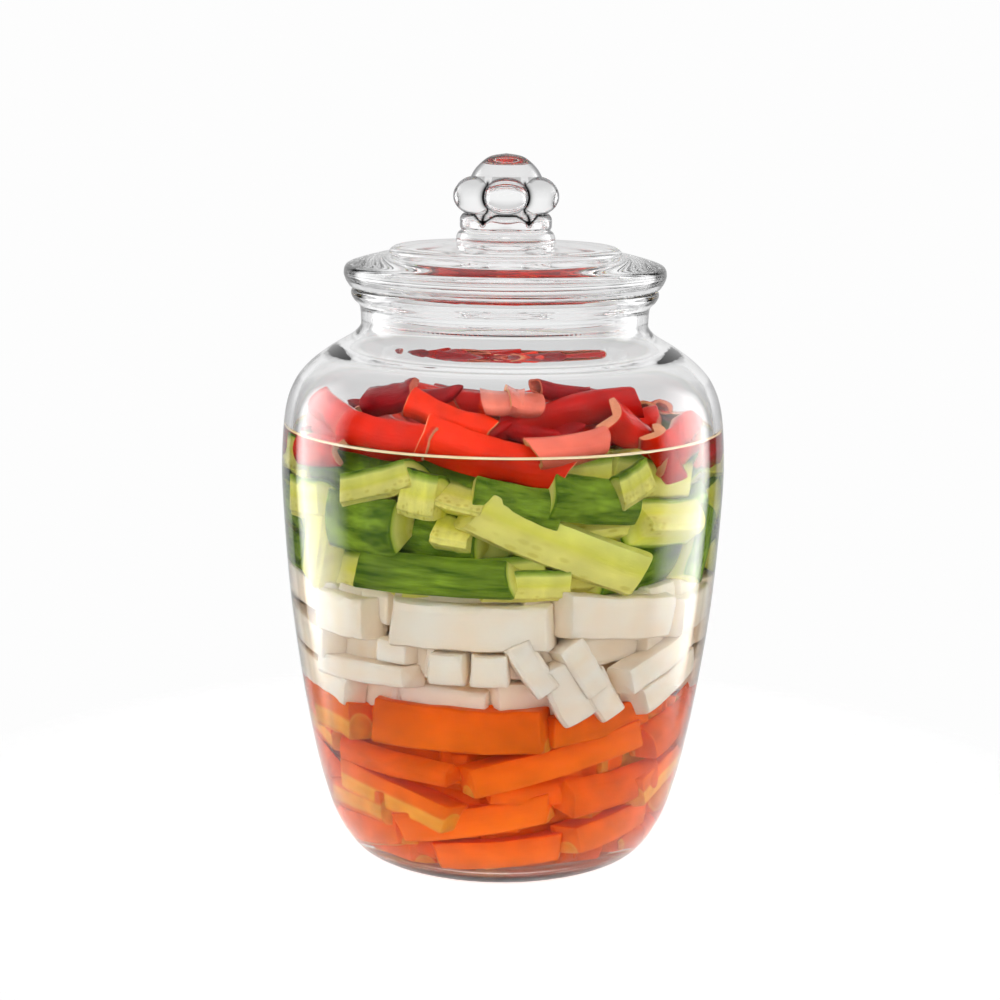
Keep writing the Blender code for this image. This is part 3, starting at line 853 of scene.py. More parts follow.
def chilli_material(mottle, fibres):
    made, tree, shader = new_material("chilli")
    place, _, tone = local_place(tree)
    outer = ramp(
        tree,
        tone,
        (
            (0.0, colour(0.20, 0.003, 0.006)),
            (0.3, colour(0.34, 0.004, 0.003)),
            (0.55, colour(0.50, 0.009, 0.002)),
            (0.8, colour(0.74, 0.024, 0.002)),
            (1.0, colour(0.62, 0.19, 0.13)),
        ),
    )
    inner = ramp(
        tree,
        tone,
        (
            (0.0, colour(0.50, 0.10, 0.06)),
            (0.5, colour(0.68, 0.26, 0.14)),
            (1.0, colour(0.78, 0.42, 0.16)),
        ),
    )
    whole = blended(tree, attribute(tree, "skin"), inner, outer)
    patches = patchy(tree, mottle, place, 0.10, 0.78, 1.15)
    shade = times(tree, whole, patches)
    tree.links.new(shade, shader.inputs["Base Color"])
    food_finish(shader, 0.14, 0.12, 0.1, (0.003, 0.0006, 0.0004))
    grain = fibrous(tree, fibres, place, 0.06, 0.3)
    raised(tree, shader, grain, 0.6, 0.0008)
    return made


# Cut shapes. A section is a closed list of (y, z, skin) in mm round the vegetable's middle line,
# with -y towards the glass.


def rounded_section(corners, radius, spacing=3.0):
    """Rounds the corners of a section and adds points along its straight sides."""
    found = []
    count = len(corners)
    for index, (y, z, skin) in enumerate(corners):
        here = Vector((y, z))
        before = Vector(corners[index - 1][:2])
        after = Vector(corners[(index + 1) % count][:2])
        turn = (here - before).angle(after - here)
        if turn < math.radians(28):
            found.append((y, z, skin))
        else:
            back = here + (before - here).normalized() * radius
            ahead = here + (after - here).normalized() * radius
            middle = (back + ahead + here * 2.0) * 0.25
            found.append((*back, skin))
            found.append((*middle, skin))
            found.append((*ahead, skin))
        there = corners[(index + 1) % count]
        gap = (after - here).length
        extra = int(gap / spacing)
        for step in range(1, extra):
            share = step / extra
            spot = here.lerp(after, share)
            if (spot - here).length > radius and (spot - after).length > radius:
                found.append((*spot, skin if there[2] == skin else 0.0))
    return found


def block_section(low_y, high_y, low_z, high_z, radius=0.8):
    corners = [
        (low_y, low_z, 0.0),
        (low_y, high_z, 0.0),
        (high_y, high_z, 0.0),
        (high_y, low_z, 0.0),
    ]
    return rounded_section(corners, radius)


def sector_section(outer, inner, half_angle, facing, radius=0.7, skin=1.0):
    """A lengthwise piece of a round vegetable, between two radii, with its skin facing one way."""
    corners = []
    middle = math.radians(facing)
    half = math.radians(half_angle)
    for step in range(9):
        angle = middle - half + 2 * half * step / 8
        corners.append((-outer * math.cos(angle), outer * math.sin(angle), skin))
    for step in range(3):
        angle = middle + half - 2 * half * step / 2
        corners.append((-inner * math.cos(angle), inner * math.sin(angle), 0.0))
    return rounded_section(corners, radius)


def strip_section(outer, thick, half_angle):
    """A curved wall of chilli: skin outside, paler inside."""
    corners = []
    half = math.radians(half_angle)
    for step in range(11):
        angle = -half + 2 * half * step / 10
        corners.append((-outer * math.cos(angle), outer * math.sin(angle), 1.0))
    for step in range(7):
        angle = half - 2 * half * step / 6
        inner = outer - thick
        corners.append((-inner * math.cos(angle), inner * math.sin(angle), 0.0))
    return rounded_section(corners, 0.5)


def cut_piece(name, section, length, lean=(0.0, 0.0), taper=0.0, bend=0.0, bumps=0.4, seed=0):
    """A stick with the given section, slanted ends and a slightly uneven surface."""
    count = len(section)
    middle = Vector(
        (
            0.5 * (min(p[0] for p in section) + max(p[0] for p in section)),
            0.5 * (min(p[1] for p in section) + max(p[1] for p in section)),
        )
    )
    half = 0.5 * length
    steps = 9
    places = [-half, -half + 0.35, -half + 1.0]
    places += [-half + length * step / steps for step in range(1, steps)]
    places += [half - 1.0, half - 0.35, half]
    points = []
    locals_ = []
    skins = []

    def add_point(x, y, z, skin):
        share = x / half
        narrow = 1.0 - taper * (share + 1.0) * 0.5
        edge = 0.94 if abs(x) > half - 0.1 else (0.985 if abs(x) > half - 0.5 else 1.0)
        dy = (y - middle.x) * narrow * edge
        dz = (z - middle.y) * narrow * edge
        slant = lean[0] if x < 0 else lean[1]
        along = x + dz * math.tan(math.radians(slant)) * abs(share) ** 2
        spot = Vector((along, dy, dz + bend * (share * share - 0.33)))
        shift = noise.noise_vector(spot * 0.09 + Vector((seed * 7.3, 0.0, 0.0)))
        fine = noise.noise_vector(spot * 0.35 + Vector((0.0, seed * 5.1, 0.0)))
        spot += shift * bumps + fine * bumps * 0.3
        points.append(spot * MM)
        locals_.append((x, y, z))
        skins.append(skin)

    for x in places:
        for y, z, skin in section:
            add_point(x, y, z, skin if abs(x) < half - 0.2 else 0.0)
    faces = []
    for ring in range(len(places) - 1):
        for index in range(count):
            beside = (index + 1) % count
            low = ring * count
            high = low + count
            faces.append((low + index, low + beside, high + beside, high + index))
    for ring, x in ((0, -half), (len(places) - 1, half)):
        centre = len(points)
        add_point(x, middle.x, middle.y, 0.0)
        first = ring * count
        for index in range(count):
            beside = (index + 1) % count
            pair = (first + index, first + beside)
            faces.append((*pair, centre) if ring else (pair[1], pair[0], centre))
    return shape_object(name, points, faces, locals_, skins)


def pod_piece(name, length, radius, wall, open_ends, bend, seed):
    """A piece of chilli pod: a bent tube with a thick wall, cut open or ending in a tip."""
    sides = 18
    rings = 14
    half = 0.5 * length
    points = []
    locals_ = []
    skins = []

    def add_ring(x, reach, skin):
        share = x / half
        for side in range(sides):
            angle = math.tau * side / sides
            swell = 1.0 + 0.10 * math.cos(3 * angle + seed) + 0.05 * math.cos(2 * angle)
            y = -reach * swell * math.cos(angle)
            z = reach * swell * math.sin(angle) * 0.86
            lean = 0.35 * z * (1 if x > 0 else -1) * abs(share) ** 3
            spot = Vector((x + lean, y, z + bend * (share * share - 0.33)))
            crease = Vector((x * 0.03, math.cos(angle) * 1.3, math.sin(angle) * 1.3 + seed))
            spot += noise.noise_vector(crease) * reach * 0.14
            points.append(spot * MM)
            locals_.append((x, y, z))
            skins.append(skin)

    def reach_at(x):
        share = x / half
        narrow = 1.0 - 0.10 * (share + 1.0)
        if not open_ends[1]:
            narrow *= math.sqrt(max(0.02, 1.0 - max(0.0, (share + 0.2) / 1.2) ** 2.2))
        if not open_ends[0]:
            narrow *= math.sqrt(max(0.05, 1.0 - max(0.0, (-share - 0.55) / 0.45) ** 2.2))
        return radius * narrow

    places = [-half + length * step / (rings - 1) for step in range(rings)]
    outside = [(x, reach_at(x), 1.0) for x in places]
    start, end = open_ends
    inside = [(x, max(0.3, reach_at(x) - wall), 0.0) for x in places]
    chain = list(outside)
    if end:
        chain.append((half, reach_at(half) - wall * 0.25, 0.0))
        chain += list(reversed(inside)) if start else list(reversed(inside[rings // 3 :]))
    elif start:
        chain = list(reversed(outside)) + [(-half, reach_at(-half) - wall * 0.25, 0.0)]
        chain += inside[: 2 * rings // 3]
    if start and end:
        chain.append((-half, reach_at(-half) - wall * 0.25, 0.0))
    for x, reach, skin in chain:
        add_ring(x, reach, skin)
    faces = []
    loops = len(chain)
    closed = start and end
    for ring in range(loops if closed else loops - 1):
        following = (ring + 1) % loops
        for side in range(sides):
            beside = (side + 1) % sides
            faces.append(
                (
                    ring * sides + side,
                    ring * sides + beside,
                    following * sides + beside,
                    following * sides + side,
                )
            )
    if not closed:
        faces.append(tuple(range(sides)))
        faces.append(tuple(reversed(range((loops - 1) * sides, loops * sides))))
    return shape_object(name, points, faces, locals_, skins)


def shape_object(name, points, faces, locals_, skins):
    mesh = bpy.data.meshes.new(name)
    mesh.from_pydata(points, [], faces)
    mesh.update()
    if volume_of(mesh) < 0:
        mesh.flip_normals()
    mark(mesh, "local", [value for spot in locals_ for value in spot], "FLOAT_VECTOR")
    mark(mesh, "skin", skins)
    mesh.shade_smooth()
    mesh.set_sharp_from_angle(angle=math.radians(50))
    return bpy.data.objects.new(name, mesh)


class Shapes:
    """The cut shapes of one vegetable, each with its size, in a collection of its own."""

    def __init__(self, kind):
        self.kind = kind
        self.collection = bpy.data.collections.new(kind + "_shapes")
        self.order = []
        self.sizes = []
        self.named = {}

    def add(self, name, obj):
        obj.name = f"{self.kind}_{len(self.order):02d}_{name}"
        self.collection.objects.link(obj)
        spots = [v.co for v in obj.data.vertices]
        size = [max(s[i] for s in spots) - min(s[i] for s in spots) for i in range(3)]
        self.named.setdefault(name, []).append(len(self.order))
        self.order.append(obj)
        self.sizes.append(size)

    def cut(self, name, section, *shape):
        self.add(name, cut_piece(name, section, *shape))

    def remove(self):
        for obj in self.order:
            mesh = obj.data
            bpy.data.objects.remove(obj)
            bpy.data.meshes.remove(mesh)
        bpy.data.collections.remove(self.collection)


def carrot_shapes():
    shapes = Shapes("carrot")
    for seed in range(3):
        lean = (8 - 9 * seed, 7 * seed - 6)
        flat = block_section(-8, 7, 2 - seed, 17 - seed, 1.3)
        shapes.cut("slab", flat, 50, lean, 0.05, 0.8, 0.55, seed)
        split = block_section(-5.5, 9, -6 + seed, 8 + seed, 1.3)
        shapes.cut("streak", split, 50, lean, 0.08, -0.6, 0.6, seed + 3)
        round_side = sector_section(17, 4, 34, 12 * seed, 0.9, 0.0)
        shapes.cut("rounded", round_side, 50, lean, 0.12, 0.8, 0.6, seed + 6)
    return shapes


def radish_shapes():
    shapes = Shapes("radish")
    for seed in range(3):
        lean = (6 - 6 * seed, 5 * seed - 4)
        flat = block_section(-8, 8, -8 + seed, 8 + seed, 3.0)
        shapes.cut("block", flat, 50, lean, 0.05, 0.5, 0.6, seed + 11)
        end = block_section(-12, 12, -7, 7, 2.8)
        shapes.cut("end", end, 14, (3, -3), 0.04, 0.2, 0.6, seed + 15)
        dee = sector_section(30, 17, 16, 0, 2.4, 0.0)
        shapes.cut("rounded", dee, 40, lean, 0.1, 0.6, 0.6, seed + 19)
    return shapes


def cucumber_shapes():
    shapes = Shapes("cucumber")
    for seed in range(3):
        lean = (10 - 9 * seed, 8 * seed - 8)
        skin_out = sector_section(17, 3.5, 36, 0)
        shapes.cut("skin_out", skin_out, 50, lean, 0.04, 0.5, 0.5, seed + 23)
        skin_up = sector_section(17, 3.0, 40, 78)
        shapes.cut("skin_up", skin_up, 50, lean, 0.04, 0.5, 0.5, seed + 27)
        flesh_out = sector_section(17, 2.5, 44, 134)
        shapes.cut("flesh_out", flesh_out, 50, (20, 4), 0.03, 0.6, 0.5, seed + 31)
        broad = block_section(-6, 8, -3, 13.8, 4.5)
        shapes.cut("broad", broad, 50, (16, 8), 0.03, 0.6, 0.5, seed + 47)
        core_out = sector_section(17, 2.5, 42, 176)
        shapes.cut("core_out", core_out, 40, lean, 0.04, 0.4, 0.6, seed + 35)
    return shapes


def chilli_shapes():
    shapes = Shapes("chilli")
    for seed in range(3):
        lean = (4, 22 - 8 * seed)
        wide = strip_section(13, 2.4, 42)
        shapes.cut("strip", wide, 46, lean, 0.12, 1.4, 1.2, seed + 41)
        shapes.add("pod", pod_piece("pod", 50, 6.4, 1.9, (True, False), 2.4, seed + 1.3))
        shapes.add("tube", pod_piece("tube", 26, 6.6, 2.0, (True, True), 1.0, seed + 4.7))
    return shapes


def piece_field():
    """The node tree that sets cut shapes on placed points and makes their surfaces uneven."""
    tree = bpy.data.node_groups.new("set_out_cut_pieces", "GeometryNodeTree")
    for label, kind in (
        ("Places", "NodeSocketGeometry"),
        ("Shapes", "NodeSocketCollection"),
        ("Unevenness", "NodeSocketFloat"),
        ("Unevenness Size", "NodeSocketFloat"),
        ("Seed", "NodeSocketFloat"),
        ("Finish", "NodeSocketMaterial"),
    ):
        tree.interface.new_socket(name=label, in_out="INPUT", socket_type=kind)
    tree.interface.new_socket(name="Pieces", in_out="OUTPUT", socket_type="NodeSocketGeometry")
    entry = tree.nodes.new("NodeGroupInput")
    leave = tree.nodes.new("NodeGroupOutput")
    shapes = add(
        tree,
        "GeometryNodeCollectionInfo",
        {
            "Collection": entry.outputs["Shapes"],
            "Separate Children": True,
            "Reset Children": True,
        },
    )
    turn, size, pick = (
        add(tree, "GeometryNodeInputNamedAttribute", {"Name": label}, data_type=kind)
        for label, kind in (("turn", "FLOAT_VECTOR"), ("size", "FLOAT_VECTOR"), ("shape", "INT"))
    )
    spin = add(tree, "FunctionNodeEulerToRotation", {0: turn.outputs["Attribute"]})
    set_out = add(
        tree,
        "GeometryNodeInstanceOnPoints",
        {
            "Points": entry.outputs["Places"],
            "Instance": shapes.outputs[0],
            "Pick Instance": True,
            "Instance Index": pick.outputs["Attribute"],
            "Rotation": spin.outputs[0],
            "Scale": size.outputs["Attribute"],
        },
    )
    real = add(tree, "GeometryNodeRealizeInstances", {"Geometry": set_out.outputs["Instances"]})
    here = tree.nodes.new("GeometryNodeInputPosition")
    shift = add(
        tree,
        "ShaderNodeTexNoise",
        {
            "Vector": here.outputs[0],
            "Scale": entry.outputs["Unevenness Size"],
            "Detail": 2.0,
            "W": entry.outputs["Seed"],
        },
        noise_dimensions="4D",
    )
    centred = vectors(tree, "SUBTRACT", shift.outputs["Color"], (0.5, 0.5, 0.5))
    offset = times(tree, centred, entry.outputs["Unevenness"])
    moved = add(
        tree, "GeometryNodeSetPosition", {"Geometry": real.outputs[0], "Offset": offset}
    )
    finished = add(
        tree,
        "GeometryNodeSetMaterial",
        {"Geometry": moved.outputs[0], "Material": entry.outputs["Finish"]},
    )
    tree.links.new(finished.outputs[0], leave.inputs["Pieces"])
    return tree


def placing(azimuth, tilt, turn):
    """How a piece lies: along the wall at its azimuth, tilted in the wall's plane and turned."""
    spin = Matrix.Rotation(math.radians(azimuth), 3, "Z")
    yaw = Matrix.Rotation(math.radians(turn), 3, "Z")
    lean = Matrix.Rotation(math.radians(-tilt), 3, "Y")
    return spin @ yaw @ lean


def seat(rotation, azimuth, height, size, inset, low, high):
    """The middle of a piece, moved within its layer and out until it just clears the glass."""
    half = [value * 0.5 for value in size]
    corners = [
        rotation @ Vector((sx * half[0], sy * half[1], sz * half[2]))
        for sx in (-1, 1)
        for sy in (-1, 1)
        for sz in (-1, 1)
    ]
    tallest = max(corner.z for corner in corners)
    height = min(max(height, low + tallest), high - tallest)
    outward = Vector((math.sin(math.radians(azimuth)), -math.cos(math.radians(azimuth)), 0.0))
    reach = 0.0
    step = 0.2 * MM
    limits = [inner_radius(height + c.z) - GLASS_CLEARANCE - inset for c in corners]
    while all(
        (c + outward * (reach + step)).xy.length < limit for c, limit in zip(corners, limits)
    ):
        reach += step
        if reach > BELLY_RADIUS:
            break
    return outward * reach + Vector((0.0, 0.0, height))


class Field:
    """The placed points of one kind of piece."""

    def __init__(self, shapes, low, high, rng, most_tone=1.0):
        self.shapes = shapes
        self.most_tone = most_tone
        self.low = low
        self.high = high
        self.rng = rng
        self.spots = []
        self.turns = []
        self.sizes = []
        self.picks = []
        self.tones = []

    def put(self, azimuth, height, size, tilt, turn, inset, shape, tone=None):
        rotation = placing(azimuth, tilt, turn)
        size = [value * MM for value in size]
        spot = seat(rotation, azimuth, height * MM, size, inset * MM, self.low, self.high)
        index = self.rng.choice(self.shapes.named[shape])
        own = self.shapes.sizes[index]
        self.spots.append(spot)
        self.turns.append(tuple(rotation.to_euler()))
        self.sizes.append([want / has for want, has in zip(size, own)])
        self.picks.append(index)
        self.tones.append(self.rng.random() * self.most_tone if tone is None else tone)

    def mesh(self, name):
        made = bpy.data.meshes.new(name)
        made.from_pydata(self.spots, [], [])
        mark(made, "turn", [v for turn in self.turns for v in turn], "FLOAT_VECTOR")
        mark(made, "size", [v for size in self.sizes for v in size], "FLOAT_VECTOR")
        mark(made, "shape", self.picks, "INT")
        mark(made, "tone", self.tones)
        return made

    def grown(self, name, tree, finish, unevenness, size):
        """The whole field as one plain mesh."""
        obj = linked(name, self.mesh(name + "_places"))
        modifier = obj.modifiers.new("Set out", "NODES")
        modifier.node_group = tree
        values = {
            "Shapes": self.shapes.collection,
            "Unevenness": unevenness,
            "Unevenness Size": size,
            "Seed": float(SEED),
            "Finish": finish,
        }
        for item in tree.interface.items_tree:
            if item.item_type == "SOCKET" and item.name in values:
                modifier[item.identifier] = values[item.name]
        graph = bpy.context.evaluated_depsgraph_get()
        graph.update()
        mesh = bpy.data.meshes.new_from_object(
            obj.evaluated_get(graph), preserve_all_data_layers=True, depsgraph=graph
        )
        places = obj.data
        obj.modifiers.clear()
        obj.data = mesh
        bpy.data.meshes.remove(places)
        for label in ("turn", "size", "shape"):
            if label in mesh.attributes:
                mesh.attributes.remove(mesh.attributes[label])
        mesh.name = name
        return obj


def round_the_jar(field, tall, long, share_end_on, names, inset, span, end_name=None):
    """Rows of cut sticks round the glass, uneven in size and lean, within a span of azimuths."""
    rng = field.rng
    rows = max(2, round((field.high - field.low) / MM / (tall + STICK_GAP)))
    pitch = (field.high - field.low) / MM / rows
    reach = BELLY_RADIUS - WALL - inset * MM
    for row in range(rows):
        azimuth = span[0] + rng.uniform(0, 8)
        while azimuth < span[1]:
            end_on = end_name is not None and rng.random() < share_end_on
            length = (tall if end_on else long) * rng.uniform(0.72, 1.12)
            across = tall * rng.uniform(0.85, 1.12)
            arc = math.degrees((length + STICK_GAP) * MM / reach)
            height = field.low / MM + pitch * (row + 0.5) + rng.uniform(-1.5, 1.5)
            size = (length, 26.0 if end_on else across, across)
            name = end_name if end_on else rng.choice(names)
            tilt = rng.uniform(-8, 8)
            yaw = rng.uniform(-5, 5)
            behind = inset + rng.uniform(0.0, 2.0)
            field.put(azimuth + arc * 0.5, height, size, tilt, yaw, behind, name)
            azimuth += arc


def lay_front(field, rows):
    """The pieces that are listed one by one, some with a tone of their own."""
    for azimuth, height, length, tall, deep, tilt, inset, shape, *tone in rows:
        size = (length, deep, tall)
        field.put(azimuth, height, size, tilt, 0.0, inset, shape, *tone)


def layer_core(name, low, high, finish, dome=0.0, skin_and_gap_shade=0.0):
    """The bare middle of a layer, behind the pieces. skin_and_gap_shade is its skin value: on the
    chilli it shows skin, and on the radish it paints the core a warm tan, painted shade for the
    gaps between the sticks.
    """
    heights = [low + (high - low) * step / 8 for step in range(9)]
    outline = [Vector((0.0, low))]
    for index, z in enumerate(heights):
        wave = CORE_WAVE * math.sin(index * 2.1)
        outline.append(Vector((inner_radius(z) - CORE_INSET + wave, z)))
    outline.append(Vector((0.0, high + dome)))
    core = turned(name, outline, CORE_STEPS)
    mesh = core.data
    spots = [v.co / MM for v in mesh.vertices]
    flat = [value for s in spots for value in (s.z, 12.0, 8.0 + 4.0 * math.sin(s.x * 0.2))]
    mark(mesh, "local", flat, "FLOAT_VECTOR")
    mark(mesh, "skin", [skin_and_gap_shade] * len(spots))
    mark(mesh, "tone", [CORE_SHADED_TONE] * len(spots))
    mesh.materials.append(finish)
    return core


def joined(first, second):
    """Two plain meshes as one object."""
    both = [first, second]
    with bpy.context.temp_override(active_object=first, selected_editable_objects=both):
        bpy.ops.object.join()
    return first


def stick_layer(
    name, shapes, span, front, tree, finish, stick, names, end_name=None, skin_and_gap_shade=0.0
):
    """A heap of cut sticks between two heights: the front ones, then two rows round the jar."""
    low, high = span
    tall, long = stick
    field = Field(shapes, low, high, random.Random(f"{SEED}{name}"))
    lay_front(field, front)
    round_the_jar(field, tall, long, 0.25, names, 0.0, BEHIND, end_name)
    round_the_jar(field, tall + 1, long, 0.3, names, SECOND_ROW, ALL_ROUND, end_name)
    pieces = field.grown(name, tree, finish, 1.0 * MM, 60.0)
    core = layer_core(name + "_core", low + 1 * MM, high - 1 * MM, finish, 0.0, skin_and_gap_shade)
    shapes.remove()
    return joined(pieces, core)


def chilli_layer(tree, finish):
    """The loose heap of chilli on top, which rises to a peak in the middle."""
    shapes = chilli_shapes()
    rng = random.Random(f"{SEED}chilli")
    low = CUCUMBER_TOP - 9 * MM
    field = Field(shapes, low, CHILLI_PEAK, rng, 0.8)
    lay_front(field, CHILLI_FRONT)
    names = ["strip", "pod", "strip", "tube"]
    for ring, (lift, inset, count) in enumerate(CHILLI_RINGS):
        for index in range(count):
            azimuth = 360 * (index + 0.5 * (ring % 2)) / count + rng.uniform(-6, 6)
            if inset < 10 and (azimuth < 72 or azimuth > 288):
                continue
            name = rng.choice(names)
            length = rng.uniform(22, 30) if name == "tube" else rng.uniform(32, 50)
            thick = rng.uniform(11, 15)
            size = (length, 9.0 if name == "strip" else thick, thick)
            tilt = rng.uniform(-14, 14)
            drop = BACK_DROP if 95 < azimuth < 265 else 0.0
            height = lift + rng.uniform(-1.5, 1.5) - drop
            turn = rng.uniform(-50, 50) if inset > 9 else 0
            field.put(azimuth, height, size, tilt, turn, inset, name)
    for azimuth, inset, length, height in CHILLI_CROWN:
        size = (length, 13.0, 12.0)
        field.put(azimuth, height, size, 0.0, rng.uniform(-8, 8), inset, "pod")
    for index in range(CHILLI_MIDDLE_COUNT):
        name = rng.choice(names)
        size = (rng.uniform(26, 44), 9.0 if name == "strip" else 13.0, 12.0)
        inset = CHILLI_MIDDLE_INSETS[index % 3]
        turn = rng.uniform(-80, 80)
        tilt = rng.uniform(-8, 8)
        field.put(index * 20, CHILLI_MIDDLE_HEIGHT, size, tilt, turn, inset, name)
    pieces = field.grown("chilli_pieces", tree, finish, 1.2 * MM, 70.0)
    core = layer_core("chilli_core", CUCUMBER_TOP + 1 * MM, 164 * MM, finish, 2 * MM, 1.0)
    shapes.remove()
    return joined(pieces, core)


def mark_glass(obj, edge_shade_from, crease=None):
    """Where painted shade darkens the glass: on upright walls seen from the side, and in the
    knob's creases.
    """
    mesh = obj.data
    walls = []
    creases = []
    for vertex in mesh.vertices:
        upright = clamped((0.92 - abs(vertex.normal.z)) / 0.35)
        lifted = clamped((vertex.co.z - edge_shade_from) / (14 * MM))
        knob = vertex.co.z > KNOB_DRUM_TOP - 6 * MM
        walls.append(KNOB_EDGE_SHADE if knob else upright * lifted)
        angle = math.atan2(vertex.co.x, -vertex.co.y)
        near = vertex.co.xy.length > 0.5 * KNOB_CORE_RADIUS
        creases.append(crease(angle, vertex.co.z) if crease and near else 0.0)
    mark(mesh, "side_edge_shade", walls)
    mark(mesh, "crease", creases)


def make_jar(finish):
    outer = smooth_points(JAR_SIDE, WALL_POINTS)
    outline = [
        *floor_corner(),
        *INNER_SIDE,
        *smooth_points(LIP, RIM_POINTS),
        *reversed(outer[:-1]),
        *map(Vector, JAR_UNDER),
    ]
    jar = turned("jar_glass", outline)
    jar.data.materials.append(finish)
    mark_glass(jar, 8 * MM)
    return jar


def make_lid(finish):
    side = smooth_points(KNOB_SIDE, RIM_POINTS)
    knob = finer(side, KNOB_DRUM_TOP - 4 * MM, KNOB_FINE_TOP, KNOB_FINE_STEP)
    outline = [*smooth_points(LID_UNDER, RIM_POINTS), *knob]
    lid = turned("lid_glass", outline, LID_STEPS, lid_swell)
    lid.data.materials.append(finish)
    mark_glass(lid, 150 * MM, knob_crease_shade)
    return lid


def lid_swell(angle, radius, height):
    if height < KNOB_FOOT_HEIGHT + 1 * MM:
        return radius
    return lobe_swell(angle, radius, height)


def make_brine(body, surface, edge):
    outline = [*floor_corner(BRINE_INTO_GLASS)]
    outline[0:4] = [Vector((p.x, p.y - BRINE_INTO_GLASS)) for p in outline[0:4]]
    top = BRINE_LEVEL + MENISCUS_RISE
    for point in INNER_SIDE:
        if point.y < BRINE_LEVEL + 0.3 * MM:
            outline.append(Vector((point.x + BRINE_INTO_GLASS, point.y)))
    for rise in (BRINE_LEVEL + 0.6 * MM, top):
        outline.append(Vector((inner_radius(rise) + BRINE_INTO_GLASS, rise)))
    wall = inner_radius(top) + BRINE_INTO_GLASS
    for step in range(1, 11):
        share = step / 10
        drop = MENISCUS_RISE * (1.0 - math.exp(-4.0 * share)) / (1.0 - math.exp(-4.0))
        outline.append(Vector((wall - share * MENISCUS_WIDTH, top - drop)))
    outline.append(Vector((wall * 0.6, BRINE_LEVEL)))
    outline.append(Vector((0.0, BRINE_LEVEL)))
    brine = turned("brine", outline)
    for finish in (body, surface, edge):
        brine.data.materials.append(finish)
    # The band where the brine climbs the glass takes the painted highlight, and the flat top takes
    # the surface finish
    for face in brine.data.polygons:
        if face.center.z > BRINE_LEVEL + 0.6 * MM:
            face.material_index = 2
        elif face.center.z > BRINE_LEVEL - 0.3 * MM and face.normal.z > 0.2:
            face.material_index = 1
    return brine


# Stage, light and camera

SWEEP_RADIUS = 0.42
SWEEP_DROP = 0.0004
SWEEP_STEPS = 96

# How bright each part of the studio is: as light, and as what shows through the glass
FLOOR_GLOW = 0.26
# Painted light: the floor glows brighter under the jar, where its shadow would fall
UNDER_JAR_PAINTED_LIGHT = 0.8
FRONT_LOW = 1.05
FLAG = 0.04
BACKDROP = 0.68
FRONT_HIGH = 4.6
SIDE_BOX = 9.0
CEILING = 0.5
SEEN_FRONT = 0.8
SEEN_SIDE = 0.9
SEEN_ABOVE = 0.85
SEEN_FLAG = 0.02
SEEN_GROUND = 0.8
SEEN_RISE = 1.35
WHITE_BEHIND = 0.983

# The view, read from the photo in pixels
PHOTO_SIDE = 1000
FOCAL_PIXELS = 2100.0
HORIZON_ROW = 94.0
AXIS_COLUMN = 502.5
AIM_HEIGHT = 134.9 * MM
PIXEL_AT_AXIS = 0.38 * MM
CAMERA_ROLL = 0.7
SENSOR = 36.0


def make_floor():
    """A small pale sweep under the jar that fades into the white round it, and glows brighter
    close under the jar: a painted pool of light that lifts the jar's shadow.
    """
    turns = [math.tau * step / SWEEP_STEPS for step in range(SWEEP_STEPS)]
    points = [
        (SWEEP_RADIUS * math.cos(t), SWEEP_RADIUS * math.sin(t), -SWEEP_DROP) for t in turns
    ]
    mesh = bpy.data.meshes.new("floor")
    mesh.from_pydata(points, [], [tuple(range(SWEEP_STEPS))])
    floor = linked("floor", mesh)
    made, tree, shader = new_material("pale_floor")
    set_inputs(shader, {"Base Color": grey(0.90), "Roughness": 0.9, "Emission Strength": 1.0})
    place = add(tree, "ShaderNodeTexCoord")
    away = vectors(tree, "LENGTH", place.outputs["Object"])
    fade = range_of(tree, away, 0.10, 0.26, 1.0, 0.0)
    tree.links.new(fade, shader.inputs["Alpha"])
    # The painted pool of light under the jar
    under = range_of(tree, away, 0.048, 0.075, UNDER_JAR_PAINTED_LIGHT, FLOOR_GLOW)
    tree.links.new(colour_vector(tree, under), shader.inputs["Emission Color"])
    mesh.materials.append(made)


def colour_vector(tree, value):
    return add(tree, "ShaderNodeCombineXYZ", {"X": value, "Y": value, "Z": value}).outputs[0]


def lighting(tree, turn, rise):
    """What lights the jar: a soft box at each side, soft light high in front, a white backdrop.
    turn goes from 0 in front to 1 behind, and rise from -1 below to 1 above."""
    flag_high = FLAG / FRONT_HIGH
    low = grey_ramp(
        tree,
        turn,
        ((0.0, FRONT_LOW), (0.40, FRONT_LOW), (0.43, FLAG), (0.79, FLAG), (0.81, BACKDROP)),
    )
    high = grey_ramp(
        tree,
        turn,
        (
            (0.0, 1.0),
            (0.30, 1.0),
            (0.40, flag_high),
            (0.79, flag_high),
            (0.82, BACKDROP / FRONT_HIGH),
        ),
    )
    boxes = grey_ramp(tree, turn, ((0.475, 0.0), (0.535, 1.0), (0.69, 1.0), (0.745, 0.0)))
    low_edge = range_of(tree, rise, -0.45, -0.30, 0.0, 1.0)
    high_edge = range_of(tree, rise, 0.30, 0.60, 1.0, 0.0)
    shown = maths(tree, "MULTIPLY", boxes, maths(tree, "MULTIPLY", low_edge, high_edge))
    strong = times(tree, colour_vector(tree, shown), SIDE_BOX)
    below = range_of(tree, rise, -0.50, -0.42, 1.0, 0.0)
    ground = blended(tree, below, low, grey(BACKDROP))
    upper = range_of(tree, rise, 0.05, 0.22, 0.0, 1.0)
    walls = blended(tree, upper, ground, times(tree, high, FRONT_HIGH))
    above = range_of(tree, rise, 0.75, 0.9, 0.0, 1.0)
    return vectors(tree, "ADD", blended(tree, above, walls, grey(CEILING)), strong)


